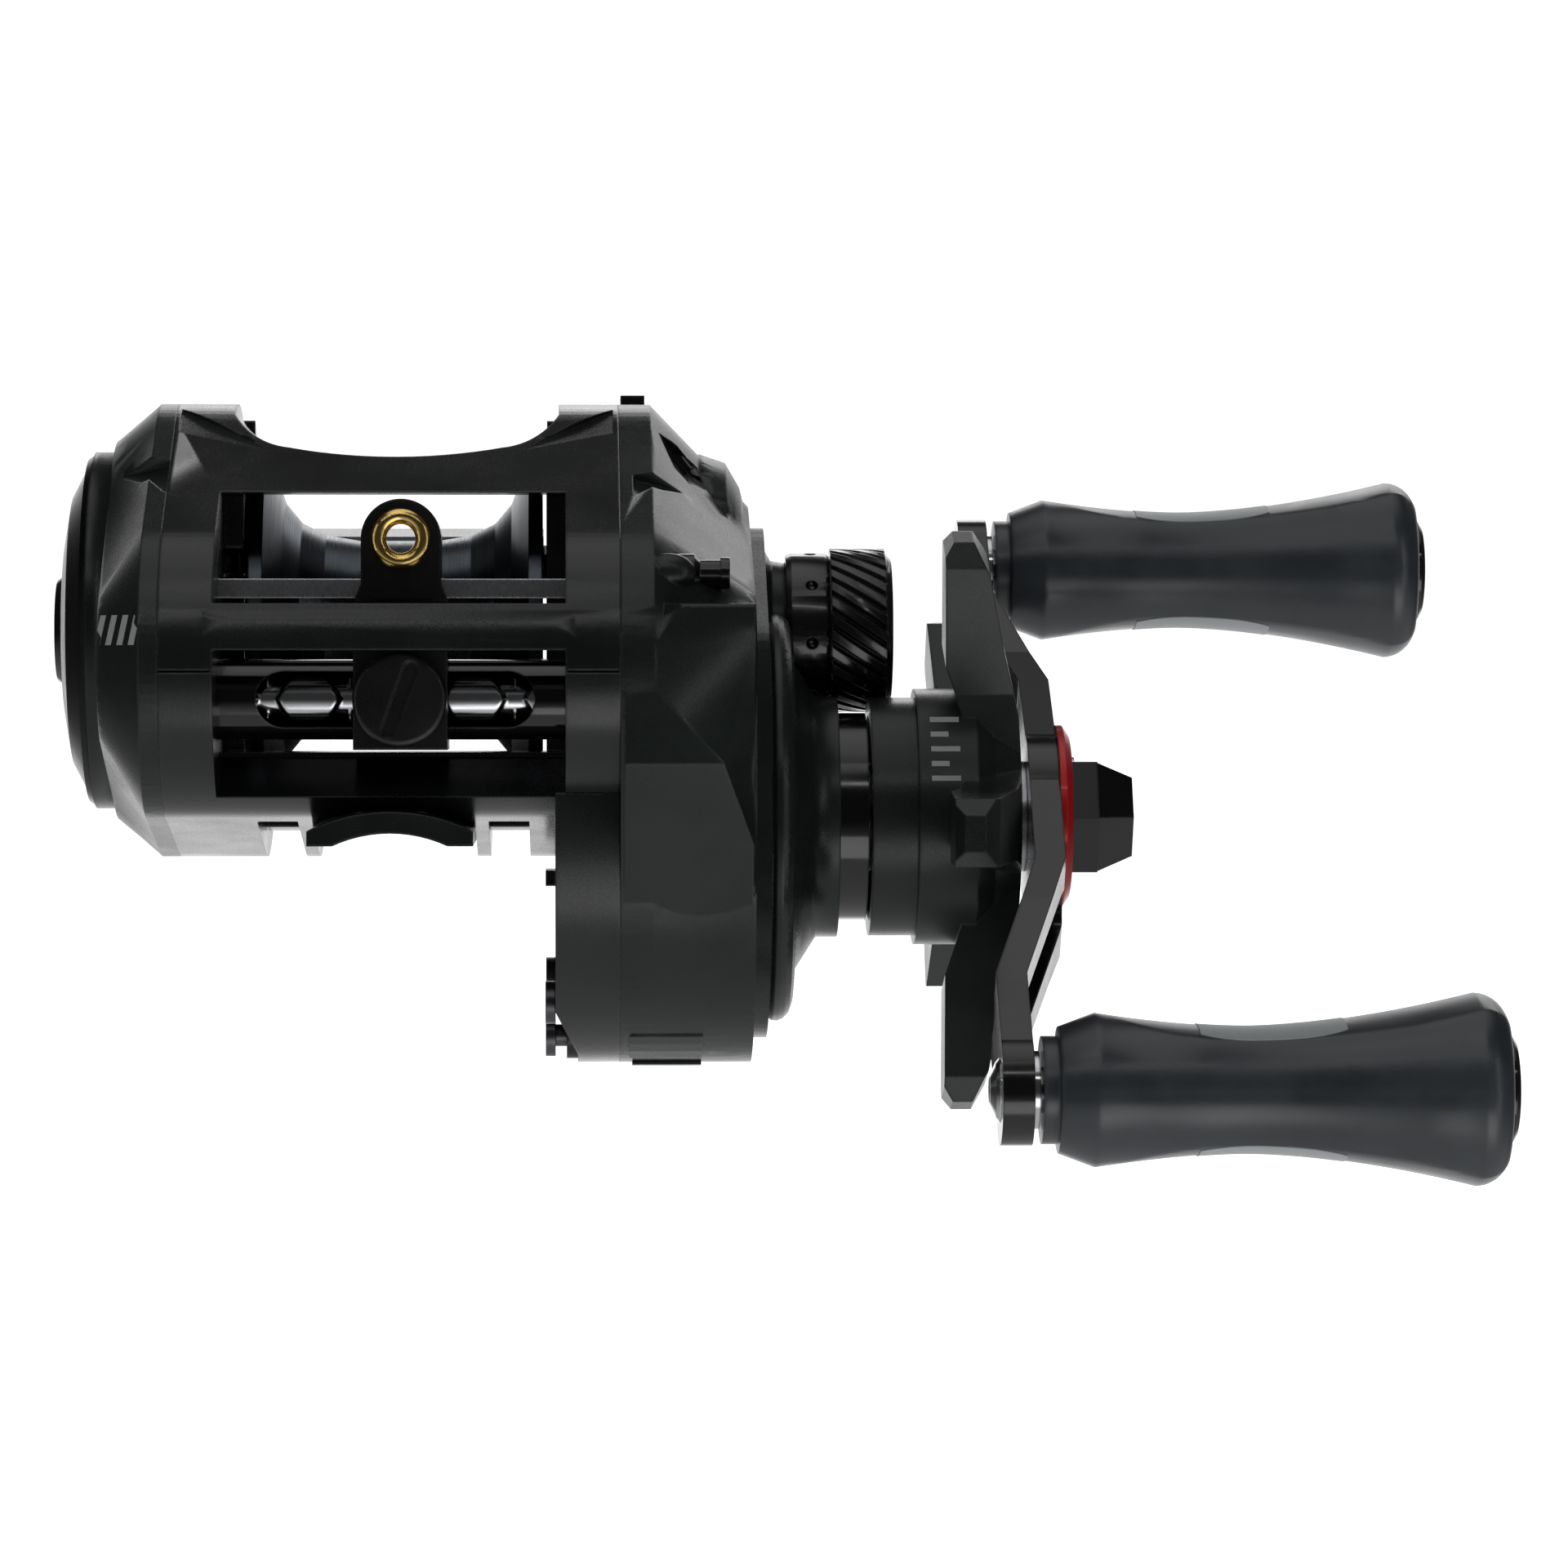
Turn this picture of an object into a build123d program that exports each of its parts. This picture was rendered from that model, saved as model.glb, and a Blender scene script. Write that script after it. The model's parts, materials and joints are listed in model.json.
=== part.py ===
from build123d import *
import math
import os

# Low-profile baitcasting reel, in millimetres.
# +X runs along the spool axis to the handle side, +Y to the rear, +Z up from the reel seat.

# ---- driving dimensions ----
SPOOL = (2.0, 18.9)               # spool axis (y, z)
SPOOL_R = 16.0                    # flange radius
ARBOR_R = 8.2
SPOOL_HALF = 13.1                 # half width over the flanges
GEAR_MODULE = 0.46
MAIN_TEETH = 71
PINION_TEETH = 10
DRIVE_DROP = 16.93                # drive axis below the spool axis
LW_MODULE = 0.7                   # level-wind gear pair
LW_DRIVE_TEETH = 43
LW_WORM_TEETH = 17
WORM_RISE = 10.73                 # worm axis above the drive axis
PRESSURE_ANGLE = math.radians(25)
BACKLASH = 0.10                   # taken off each tooth

BODY_R = 20.7                     # round part of the body, about the spool axis
NOSE = (-20.0, 15.6)              # centre of the rounded nose (y, z)
NOSE_R = 13.5
FRAME_L = -19.9                   # palm-side seam
FRAME_R = 20.0                    # gear-side seam
WALL = 1.8
LOBE_R = 22.2                     # gear case around the drive axis
LOBE_L = 14.3                     # inner face of the gear case lobe

HOOD_T = 3.2                      # depth of the front hood from the body surface
HOOD_FOOT_Z = 15.0                # lower end of the hood's legs
HOOD_REAR_Y = 9.0
SHELF_X = 13.5                    # frame cheeks beside the spool
WINDOW_X = 15.2                   # frame cheeks beside the line guide
CHEEK_R = 18.4                    # outer face of the gear-side cheek, inside its rim
SPOOL_GAP = 0.45                  # between the flanges and the cradle
FOOT_HALF = 7.2                   # half width of the foot
FOOT_FRONT = -31.5
FOOT_REAR = 27.5
ARCH_R = 11.8                     # rod-side arch of the foot
ARCH_TOP = 1.1
COVER_STEP = 22.9                 # end of the gear cover's straight rim
COVER_FACE = 31.9                 # its outer face
CASE_FRONT = -33.3                # front of the gear case
CASE_CREASE_Z = 7.2               # crease between its upright and its leaning face
CASE_CREASE_X = 28.9
CASE_SHELF_Z = 21.0

TUBE_R = 3.55                     # worm guard, outside
TUBE_BORE = 2.75
GUIDE_X = 0.85                    # middle of the line guide at rest
RING_Y = -26.0                    # front of the line ring
RING_Z = 26.7
RAIL = (-23.0, 22.4)              # guide rail (y, z)
RAIL_SIZE = (1.6, 1.7)
RAIL_FIT = 0.06                   # running gap of the line guide on its rail
TUBE_FIT = 0.08                   # and on the worm guard

THUMB_PAD = (20.5, 26.8)          # centre of the thumb pad (y, z)
THUMB_TONGUE = (19.0, 25.4)       # centre of its side tongues
THUMB_LEAN = 20.5                 # the bar slides down and this far to the rear
THUMB_TRAVEL = 4.0
TONGUE = (2.6, 2.6)
SWITCH_Y = 8.0                    # front end of the flip switch's travel
SWITCH_TRAVEL = 2.0

SHAFT_R = 3.0                     # drive shaft
SHAFT_FIT = 0.05                  # what turns or slides on the drive shaft
CAP_BORE = 6.32                   # cast control cap over its boss
MAGNETS = 8
KNOB_REACH = 38.0                 # drive axis to knob axis along the handle
HANDLE_TILT = 53.0                # handle from vertical, top end to the rear
ARM_T = 2.75
ARM_MID_X = 56.8                  # inner face of the arm at its centre
ARM_END_X = 52.5                  # inner face of the arm at its ends
STAR_R = 26.8
STAR_ARMS = 5
STAR_TURN = 20                    # first blade, degrees from straight up
NUT_FLATS = 10.0

# ---- derived places ----
GEAR_CD = (MAIN_TEETH + PINION_TEETH) * GEAR_MODULE / 2
DRIVE = (SPOOL[0] - math.sqrt(GEAR_CD**2 - DRIVE_DROP**2), SPOOL[1] - DRIVE_DROP)
LW_CD = (LW_DRIVE_TEETH + LW_WORM_TEETH) * LW_MODULE / 2
WORM = (DRIVE[0] - math.sqrt(LW_CD**2 - WORM_RISE**2), DRIVE[1] + WORM_RISE)
TO_KNOB = (math.sin(math.radians(HANDLE_TILT)), math.cos(math.radians(HANDLE_TILT)))
KNOB_HIGH = (DRIVE[0] + KNOB_REACH * TO_KNOB[0], DRIVE[1] + KNOB_REACH * TO_KNOB[1])
KNOB_LOW = (DRIVE[0] - KNOB_REACH * TO_KNOB[0], DRIVE[1] - KNOB_REACH * TO_KNOB[1])

NUT_X = ARM_MID_X + ARM_T + 1.2
KNOB_X = ARM_END_X + ARM_T + 0.8  # inner end of a knob
SWITCH_TOP = SPOOL[1] + math.sqrt(BODY_R**2 - (SWITCH_Y - SPOOL[0])**2)
YOKE_POSTS = [(SPOOL[0] + side, SPOOL[1] + 2.0) for side in (-5.8, 5.8)]

os.makedirs("parts", exist_ok=True)
PARTS = {}


# ---- helpers ----
def side_plane(x, at=(0.0, 0.0)):
    """Sketch plane facing +X at x: local x is +Y, local y is +Z, origin on the axis at."""
    return Plane(origin=(x, at[0], at[1]), x_dir=(0, 1, 0), z_dir=(1, 0, 0))


def along_x(sketch, x0, x1, at=(0.0, 0.0)):
    """A sketch pushed along X from x0 to x1."""
    return extrude(side_plane(x0, at) * sketch, amount=x1 - x0)


def disc(x0, x1, r, at):
    return along_x(Circle(r), x0, x1, at)


def ring(x0, x1, outer, inner, at):
    return along_x(Circle(outer) - Circle(inner), x0, x1, at)


def turned(points, at):
    """A solid of revolution about the X-parallel axis at; points are (x, radius)."""
    plane = Plane(origin=(0, at[0], at[1]), x_dir=(1, 0, 0), z_dir=(0, -1, 0))
    profile = plane * make_face(Polyline(*points, close=True))
    return revolve(profile, Axis((0, at[0], at[1]), (1, 0, 0)))


def box(x0, x1, y0, y1, z0, z1):
    centre = ((x0 + x1) / 2, (y0 + y1) / 2, (z0 + z1) / 2)
    return Pos(*centre) * Box(x1 - x0, y1 - y0, z1 - z0)


def hull(*circles):
    """The outline stretched round circles given as (y, z, radius)."""
    edges = [e for y, z, r in circles for e in (Pos(y, z) * Circle(r)).edges()]
    return make_hull(edges)


def body_outline(inset=0.0, nose_inset=None):
    nose = inset if nose_inset is None else nose_inset
    return hull((*SPOOL, BODY_R - inset), (*NOSE, NOSE_R - nose))


def polar(r, angle, at=(0.0, 0.0)):
    return (at[0] + r * math.cos(angle), at[1] + r * math.sin(angle))


def aim(start, end):
    return math.atan2(end[1] - start[1], end[0] - start[0])


def involute(angle):
    return math.tan(angle) - angle


def gear(teeth, module, x0, x1, at, phase, bore, addendum=0.8, dedendum=1.05, steps=4):
    """An involute spur gear with one tooth centred on the direction phase."""
    pitch_r = teeth * module / 2
    base_r = pitch_r * math.cos(PRESSURE_ANGLE)
    tip_r = pitch_r + addendum * module
    root_r = pitch_r - dedendum * module
    start_r = max(base_r, root_r)
    half = math.pi / (2 * teeth) - BACKLASH / (2 * pitch_r)
    flank = []
    for i in range(steps + 1):
        r = start_r + (tip_r - start_r) * i / steps
        at_r = math.acos(min(1.0, base_r / r))
        flank.append((r, half + involute(PRESSURE_ANGLE) - involute(at_r)))
    if root_r < base_r:
        flank.insert(0, (root_r, flank[0][1]))
    points = []
    for n in range(teeth):
        centre = phase + 2 * math.pi * n / teeth
        points += [polar(r, centre - a) for r, a in flank]
        points += [polar(r, centre + a) for r, a in reversed(flank)]
    outline = make_face(Polyline(*points, close=True))
    return along_x(outline - Circle(bore), x0, x1, at)


def ridged(count, outer, inner):
    """A round outline with count V-shaped grooves."""
    points = []
    for n in range(count):
        start = 2 * math.pi * n / count
        step = 2 * math.pi / count
        points.append(polar(outer, start))
        points.append(polar(outer, start + 0.55 * step))
        points.append(polar(inner, start + 0.78 * step))
    return points


def save(name, *solids):
    """Keep a node; several solids in one node stay separate bodies."""
    PARTS[name] = solids[0] if len(solids) == 1 else Compound(children=list(solids))


# ---- frame ----
def hood_shell():
    """The skin of the body in front of and above the spool, over the frame's whole width."""
    skin = along_x(body_outline() - body_outline(HOOD_T), FRAME_L, FRAME_R)
    keep = box(FRAME_L, FRAME_R, -40, HOOD_REAR_Y, HOOD_FOOT_Z, 45)
    return skin & keep


def foot():
    """Saddle plate with two flat rails and an arch between them."""
    crown = 1.9 + ARCH_TOP
    outline = make_face([
        Line((-FOOT_HALF, 0), (FOOT_HALF, 0)),
        Line((FOOT_HALF, 0), (FOOT_HALF, 1.3)),
        ThreePointArc((FOOT_HALF, 1.3), (0, crown), (-FOOT_HALF, 1.3)),
        Line((-FOOT_HALF, 1.3), (-FOOT_HALF, 0)),
    ])
    face = Plane(origin=(0, FOOT_FRONT, 0), x_dir=(1, 0, 0), z_dir=(0, -1, 0)) * outline
    return extrude(face, amount=FOOT_FRONT - FOOT_REAR)


def rod_arch():
    """The space the rod blank takes under the foot."""
    length = FOOT_REAR - FOOT_FRONT + 2
    mid = (FOOT_REAR + FOOT_FRONT) / 2
    return Pos(0, mid, ARCH_TOP - ARCH_R) * Rot(90, 0, 0) * Cylinder(ARCH_R, length)


def spool_space():
    """Room for the spool between the cheeks."""
    return disc(-SHELF_X, SHELF_X, SPOOL_R + SPOOL_GAP, SPOOL)


def frame():
    solid = along_x(body_outline(), FRAME_L, FRAME_R)
    solid -= along_x(body_outline(1.6), CHEEK_R, FRAME_R)
    solid -= box(-WINDOW_X, WINDOW_X, -40, -13, -5, 45)
    solid -= box(-SHELF_X, SHELF_X, -13.01, 40, -5, 45)
    solid -= hood_shell()

    floor = along_x(body_outline() & (Pos(-12, -2) * Rectangle(50, 20)), -WINDOW_X, WINDOW_X)
    floor -= box(-20, 20, 12, 40, -10, 45)
    slope = along_x(make_face(Polyline((-40, 0.0), (-30.5, 2.6), (-20, 7.6), (-20, 30), (-40, 30),
                                       close=True)), -20, 20)
    under = box(FOOT_HALF + 1.2, SHELF_X - 1.5, -24, 12, -5, 1.9)
    cradle = ring(-SHELF_X, SHELF_X, SPOOL_R + SPOOL_GAP + 1.9, SPOOL_R + SPOOL_GAP, SPOOL)
    cradle &= box(-SHELF_X, SHELF_X, -2, 17.5, -5, 7.4)
    solid += floor - slope - under - mirror(under, about=Plane.YZ)
    solid += cradle
    solid += foot()
    solid -= spool_space()
    solid -= rod_arch() & box(-FOOT_HALF, FOOT_HALF, -40, 40, -20, 20)
    solid -= box(-FOOT_HALF, FOOT_HALF, -40, 40, -5, 0)

    solid -= disc(FRAME_L - 1, -SHELF_X + 1, SPOOL_R + 0.6, SPOOL)
    solid -= disc(SHELF_X - 1, FRAME_R, 5.6, SPOOL)
    solid -= disc(FRAME_L + 1.5, FRAME_R, 3.6, WORM)
    solid -= disc(CHEEK_R, FRAME_R, LOBE_R, DRIVE)
    solid -= guide_rail()
    solid -= thumb_slots()
    return solid


def tongue_track(x0, x1, room, travel):
    """A leaning block on both sides: a tongue, or with room and travel its slot."""
    width = TONGUE[0] + 2 * room
    length = TONGUE[1] + 2 * room + travel
    block = Pos(0, 0, -travel / 2) * Box(x1 - x0, width, length)
    block = Pos((x0 + x1) / 2, *THUMB_TONGUE) * Rot(THUMB_LEAN, 0, 0) * block
    return block + mirror(block, about=Plane.YZ)


def thumb_slots():
    """Leaning slots in both cheeks that guide the thumb bar."""
    return tongue_track(SHELF_X - 0.5, SHELF_X + 2.0, 0.3, THUMB_TRAVEL)


def hood():
    """Top bar, crossbar and two legs in one piece, with the line window between them."""
    shell = hood_shell()
    shell -= box(-WINDOW_X, WINDOW_X, -40, -5, 21.0, 30.9)
    shell -= box(-WINDOW_X, WINDOW_X, -40, -5, 0, 16.95)
    scoop = make_face([
        Polyline((-14.6, 38.4), (-14.6, 45), (14.6, 45), (14.6, 38.4)),
        ThreePointArc((14.6, 38.4), (12.6, 36.3), (9.6, 35.2)),
        ThreePointArc((9.6, 35.2), (0, 34.3), (-9.6, 35.2)),
        ThreePointArc((-9.6, 35.2), (-12.6, 36.3), (-14.6, 38.4)),
    ])
    face = Plane(origin=(0, 20, 0), x_dir=(1, 0, 0), z_dir=(0, -1, 0)) * scoop
    return shell - extrude(face, amount=60)


# ---- palm side ----
def palm_cover():
    """Tapered side cover with a round recess for the insert."""
    base = along_x(body_outline(), -21.6, FRAME_L)
    big = side_plane(-21.6) * body_outline()
    small = side_plane(-25.6) * body_outline(3.4, 6.4)
    outer = base + loft([small, big], ruled=True) + disc(-27.6, -25.6, 16.3, SPOOL)
    big_in = side_plane(-21.6) * body_outline(WALL)
    small_in = side_plane(-24.2) * body_outline(WALL + 3.0, WALL + 5.6)
    inner = along_x(body_outline(WALL), -21.6, FRAME_L) + loft([small_in, big_in], ruled=True)
    solid = outer - inner
    solid -= disc(-28, -26.0, 15.2, SPOOL)
    solid -= disc(-28, -20, 2.6, SPOOL)
    return solid


def palm_insert():
    """Shallow domed glossy disc round the brake dial."""
    return turned([(-26.0, 15.1), (-28.2, 15.1), (-29.6, 12.4), (-30.3, 8.5), (-30.3, 5.4),
                   (-28.2, 5.4), (-28.2, 2.6), (-26.0, 2.6)], SPOOL)


def palm_trim():
    return turned([(-27.6, 16.1), (-28.2, 15.7), (-28.2, 15.2), (-27.6, 15.2)], SPOOL)


def brake_dial():
    body = turned([(-28.3, 0), (-28.3, 5.1), (-30.6, 5.1), (-31.2, 4.6), (-31.2, 0)], SPOOL)
    shaft = disc(-28.3, -23.0, 2.5, SPOOL)
    cut = box(-32, -30.5, SPOOL[0] - 3.6, SPOOL[0] + 3.6, SPOOL[1] - 0.6, SPOOL[1] + 0.6)
    return body + shaft + disc(-23.9, -23.0, 4.6, SPOOL) - cut


def brake_housing():
    """Disc that closes the spool bore and carries the palm-side bearing."""
    plate = disc(-17.6, -16.0, SPOOL_R + 0.55, SPOOL)
    skirt = ring(-24.2, -17.6, 14.0, 12.6, SPOOL)
    collar = disc(-20.6, -14.0, 5.2, SPOOL)
    return plate + skirt + collar - disc(-20.0, -13, 4.0, SPOOL)


def magnet_carrier():
    return ring(-22.8, -21.0, 12.3, 5.5, SPOOL)


def magnets():
    centres = [polar(8.9, 2 * math.pi * n / MAGNETS, SPOOL) for n in range(MAGNETS)]
    return [disc(-21.0, -19.4, 1.9, at) for at in centres]


def bearing(x0, x1, outer, inner, at):
    """Outer race, inner race and shields as one closed ring."""
    mid = (outer + inner) / 2
    body = ring(x0, x1, outer, inner, at)
    for face in (x0 - 0.5, x1 - 0.3):
        body -= ring(face, face + 0.8, mid + 0.7, mid - 0.7, at)
    return body


# ---- spool ----
def spool():
    """One turned spool: flanges, curved cone shoulders, arbor and a recess each side."""
    h = SPOOL_HALF
    outline = [(-h, 15.0), (-h, SPOOL_R), (-h + 1.2, SPOOL_R), (-h + 1.7, 14.6), (-10.3, 11.6),
               (-8.8, 9.8), (-6.6, 8.7), (-3.6, ARBOR_R), (3.6, ARBOR_R), (6.6, 8.7), (8.8, 9.8),
               (10.3, 11.6), (h - 1.7, 14.6), (h - 1.2, SPOOL_R), (h, SPOOL_R), (h, 15.0),
               (11.8, 13.0), (11.2, 11.6), (9.6, 9.6), (7.6, 7.4), (1.4, 6.6), (1.4, 1.5),
               (-1.4, 1.5), (-1.4, 6.6), (-7.6, 7.4), (-9.6, 9.6), (-11.2, 11.6), (-11.8, 13.0)]
    return turned(outline, SPOOL)


def spool_shaft():
    shaft = turned([(-19.4, 0), (-19.4, 1.4), (-4.0, 1.5), (18.4, 1.5), (18.8, 1.25),
                    (37.6, 1.25), (38.0, 0.9), (38.0, 0)], SPOOL)
    return shaft - clutch_pin()


def clutch_pin():
    return Pos(19.2, *SPOOL) * Cylinder(0.6, 4.4)


# ---- gear train ----
def pinion():
    """Ten-tooth pinion with a yoke groove and a slotted clutch end."""
    phase = aim(SPOOL, DRIVE) + math.pi / PINION_TEETH
    teeth = gear(PINION_TEETH, GEAR_MODULE, 23.4, 28.5, SPOOL, phase, 1.32, dedendum=1.0, steps=6)
    groove = ring(21.4, 23.4, 1.95, 1.32, SPOOL)
    head = ring(18.9, 21.4, 2.9, 1.6, SPOOL)
    head += ring(20.6, 21.4, 2.9, 1.32, SPOOL)
    notch = box(18.0, 20.4, SPOOL[0] - 0.75, SPOOL[0] + 0.75, SPOOL[1] - 4, SPOOL[1] + 4)
    return teeth + groove + head - notch


def main_gear():
    phase = aim(DRIVE, SPOOL)
    body = gear(MAIN_TEETH, GEAR_MODULE, 24.4, 28.2, DRIVE, phase, 3.02)
    return body - disc(26.0, 28.3, 13.4, DRIVE)


def drag_washer():
    return ring(26.0, 27.0, 13.2, 3.1, DRIVE)


def drag_plate():
    return ring(27.0, 28.0, 13.0, SHAFT_R + SHAFT_FIT, DRIVE)


def levelwind_gear():
    phase = aim(DRIVE, WORM)
    return gear(LW_DRIVE_TEETH, LW_MODULE, 22.0, 23.2, DRIVE, phase, 3.02)


def worm_gear():
    phase = aim(WORM, DRIVE) + math.pi / LW_WORM_TEETH
    return gear(LW_WORM_TEETH, LW_MODULE, 21.8, 23.4, WORM, phase, 1.2)


def drive_shaft():
    shaft = disc(19.2, NUT_X, SHAFT_R, DRIVE)
    flats = box(28.4, 61, DRIVE[0] - 5, DRIVE[0] + 5, DRIVE[1] + 2.4, DRIVE[1] + 4)
    thread = disc(NUT_X, NUT_X + 4.8, 2.4, DRIVE)
    return shaft - flats + thread + ring(23.25, 24.35, 4.6, 2.9, DRIVE)


def clutch_tube():
    return ring(28.3, 42.4, 4.4, SHAFT_R + SHAFT_FIT, DRIVE)


def anti_reverse_bearing():
    body = ring(32.0, 38.6, 7.8, 4.45, DRIVE)
    return body - ring(31.5, 32.5, 6.9, 5.6, DRIVE) - ring(38.1, 39.0, 6.9, 5.6, DRIVE)


def bearing_retainer():
    return ring(38.8, 42.3, 9.4, 4.9, DRIVE)


def clutch_yoke():
    """Fork that holds the pinion by its groove and slides it off the clutch pin."""
    y, z = SPOOL
    arm = box(21.5, 22.85, y - 7.5, y + 7.5, z - 0.9, z + 4.2)
    arm -= box(21, 24, y - 2.15, y + 2.15, z - 4.0, z + 2.15)
    for at in YOKE_POSTS:
        arm -= disc(21, 24, 1.0, at)
    return arm


def yoke_posts():
    return [disc(FRAME_R, COVER_FACE - WALL, 0.95, at) for at in YOKE_POSTS]


def yoke_springs():
    return [ring(25.2, 29.9, 1.7, 1.0, at) for at in YOKE_POSTS]


# ---- gear side covers ----
CASE_SCREWS = [polar(19.8, math.radians(a), DRIVE) for a in (-125, -90, -50)]


def gear_side_plate():
    """Inner plate: a web inside the frame rim and an open pan round the drive gear."""
    pan = disc(LOBE_L, FRAME_R, LOBE_R, DRIVE)
    pan -= box(LOBE_L - 1, LOBE_L + 2.0, -40, 40, -30, -13.6) & chamfer_wedge()
    pan -= disc(LOBE_L + 1.6, FRAME_R, LOBE_R - WALL, DRIVE)
    frame_zone = along_x(body_outline(), LOBE_L - 1, CHEEK_R)
    pan -= frame_zone
    roof = along_x(body_outline(-1.6) - body_outline(), LOBE_L, CHEEK_R + 0.1)
    roof &= disc(LOBE_L, CHEEK_R + 0.1, LOBE_R - 0.5, DRIVE)
    web = along_x(body_outline(1.6), CHEEK_R + 0.1, FRAME_R)
    web += disc(CHEEK_R + 0.1, FRAME_R, LOBE_R - 0.5, DRIVE)
    web &= along_x(body_outline(1.6) + Pos(*DRIVE) * Circle(LOBE_R), CHEEK_R, FRAME_R)
    solid = pan + roof + web + disc(FRAME_R, 21.6, 5.0, DRIVE)
    solid -= hood_shell()
    for at in CASE_SCREWS:
        solid += disc(LOBE_L + 1, FRAME_R, 2.1, at)
        solid -= disc(LOBE_L - 1, FRAME_R + 1, 1.0, at)
    solid -= disc(19.0, 22, 4.0, DRIVE)
    solid -= disc(18, 22, 3.3, SPOOL)
    solid -= disc(18, 22, 3.6, WORM)
    lug = box(LOBE_L - 0.9, LOBE_L + 0.5, DRIVE[0] - 3, DRIVE[0] + 3, -4.2, -2.8)
    return solid + lug


def case_screws():
    """Screws from the inner side of the case into the cover."""
    screws = []
    for at in CASE_SCREWS:
        body = disc(LOBE_L - 0.9, LOBE_L, 1.9, at) + disc(LOBE_L, 25.0, 1.0, at)
        slot = box(LOBE_L - 2, LOBE_L - 0.5, at[0] - 0.25, at[0] + 0.25, at[1] - 1.3, at[1] + 1.3)
        screws.append(body - slot)
    return screws


def chamfer_wedge():
    """Slanted corner along the pan's lower inner edge."""
    face = Plane(origin=(0, 40, 0), x_dir=(1, 0, 0), z_dir=(0, -1, 0))
    outline = make_face(Polyline((LOBE_L - 1, -13.6), (LOBE_L, -15.0), (LOBE_L + 2.6, -20.4),
                                 (LOBE_L + 2.6, -30), (LOBE_L - 1, -30), close=True))
    return extrude(face * outline, amount=80)


def cover_outline(grow, nose_r, nose_at, top_r):
    return hull((*SPOOL, top_r - grow), (*nose_at, nose_r - grow), (*DRIVE, LOBE_R - grow))


def front_wedge(corners, lean):
    """A wedge seen from the front as corners (x, z); lean is how it shifts in x and z going rearward."""
    start = 6.0
    points = [(x - start * lean[0], z - start * lean[1]) for x, z in corners]
    plane = Plane(origin=(0, CASE_FRONT - start, 0), x_dir=(1, 0, 0), z_dir=(0, -1, 0))
    length = 20.0
    direction = (lean[0], 1, lean[1])
    stretch = math.sqrt(lean[0]**2 + 1 + lean[1]**2)
    return extrude(plane * make_face(Polyline(*points, close=True)), amount=length * stretch,
                   dir=direction)


def case_front():
    """Flat nose of the case: an upright face, one leaning back below it and a shelf on top."""
    corner, sunk = 0.4, 0.3
    outline = hull((*DRIVE, LOBE_R - sunk), (CASE_FRONT + corner, CASE_CREASE_Z, corner),
                   (CASE_FRONT + corner, CASE_SHELF_Z - corner, corner))
    block = along_x(outline, FRAME_R + sunk, COVER_FACE - sunk)
    block -= box(FRAME_R, COVER_FACE, -40, -16, CASE_SHELF_Z, 40)
    side = [(CASE_CREASE_X, CASE_CREASE_Z), (CASE_CREASE_X + 7.1, 37.2), (60, 37.2), (60, -32.8),
            (CASE_CREASE_X + 5.4, -32.8)]
    block -= front_wedge(side, (0.46, 0.0))
    upper_left = [(18.0, 9.6), (26.7, 23.0), (18.0, 23.0)]
    return block - front_wedge(upper_left, (-0.8, 0.55))


def gear_cover():
    """Deep outer cover with a lobe over the gears and bosses for the cap and the drive."""
    def rim(grow):
        return cover_outline(grow, NOSE_R, NOSE, BODY_R)

    def face(grow):
        return cover_outline(grow, 8.2, (-20.6, 14.2), 11.4)

    outer = along_x(rim(0), FRAME_R, COVER_STEP)
    outer += loft([side_plane(COVER_STEP) * rim(0), side_plane(COVER_FACE) * face(0)], ruled=True)
    inner = along_x(rim(WALL), FRAME_R, COVER_STEP)
    inner += loft([side_plane(COVER_STEP) * rim(WALL),
                   side_plane(COVER_FACE - WALL) * face(WALL)], ruled=True)
    outer += turned([(24.0, 0), (27.4, 16.2), (29.8, 15.4), (31.1, 13.2), (COVER_FACE, 10.0),
                     (COVER_FACE, 0)], SPOOL)
    outer += case_front()
    top = hull((*SPOOL, 9.4), (*DRIVE, LOBE_R - 2.2))
    outer += along_x(top, COVER_FACE, 33.3)
    outer += turned([(33.3, 0), (33.3, 18.1), (35.0, 18.1), (35.6, 17.0), (35.7, 14.2),
                     (37.8, 10.9), (39.7, 10.9), (39.7, 0)], DRIVE)
    outer -= disc(35.0, 40, 7.8, SPOOL)
    outer += turned([(33.3, 0), (33.3, 7.6), (34.0, 6.4), (35.1, 6.2), (37.6, 5.6), (37.6, 0)],
                    SPOOL)
    solid = outer - inner
    for at in CASE_SCREWS:
        solid += disc(FRAME_R, 27.0, 2.1, at) & disc(FRAME_R, 27.0, LOBE_R - 0.5, DRIVE)
        solid -= disc(FRAME_R - 1, 25.0, 1.0, at)
    solid -= disc(28, 38.7, 7.85, DRIVE)
    solid -= disc(38, 41, 9.45, DRIVE)
    solid -= disc(28, 33.0, 1.6, SPOOL)
    solid -= disc(33.0, 38, 4.55, SPOOL)
    solid -= disc(19, 32, 3.2, WORM) & box(19, 24.2, -60, 40, -40, 60)
    solid -= hook_post()
    solid -= switch_slot()
    return solid


def oil_port_plug():
    """Small plate let into the underside of the case."""
    outer = along_x(Circle(LOBE_R + 0.35) - Circle(LOBE_R), 21.2, 27.4, DRIVE)
    return outer & box(21.2, 27.4, DRIVE[0] - 3.6, DRIVE[0] + 3.6, -40, DRIVE[1])


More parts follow.
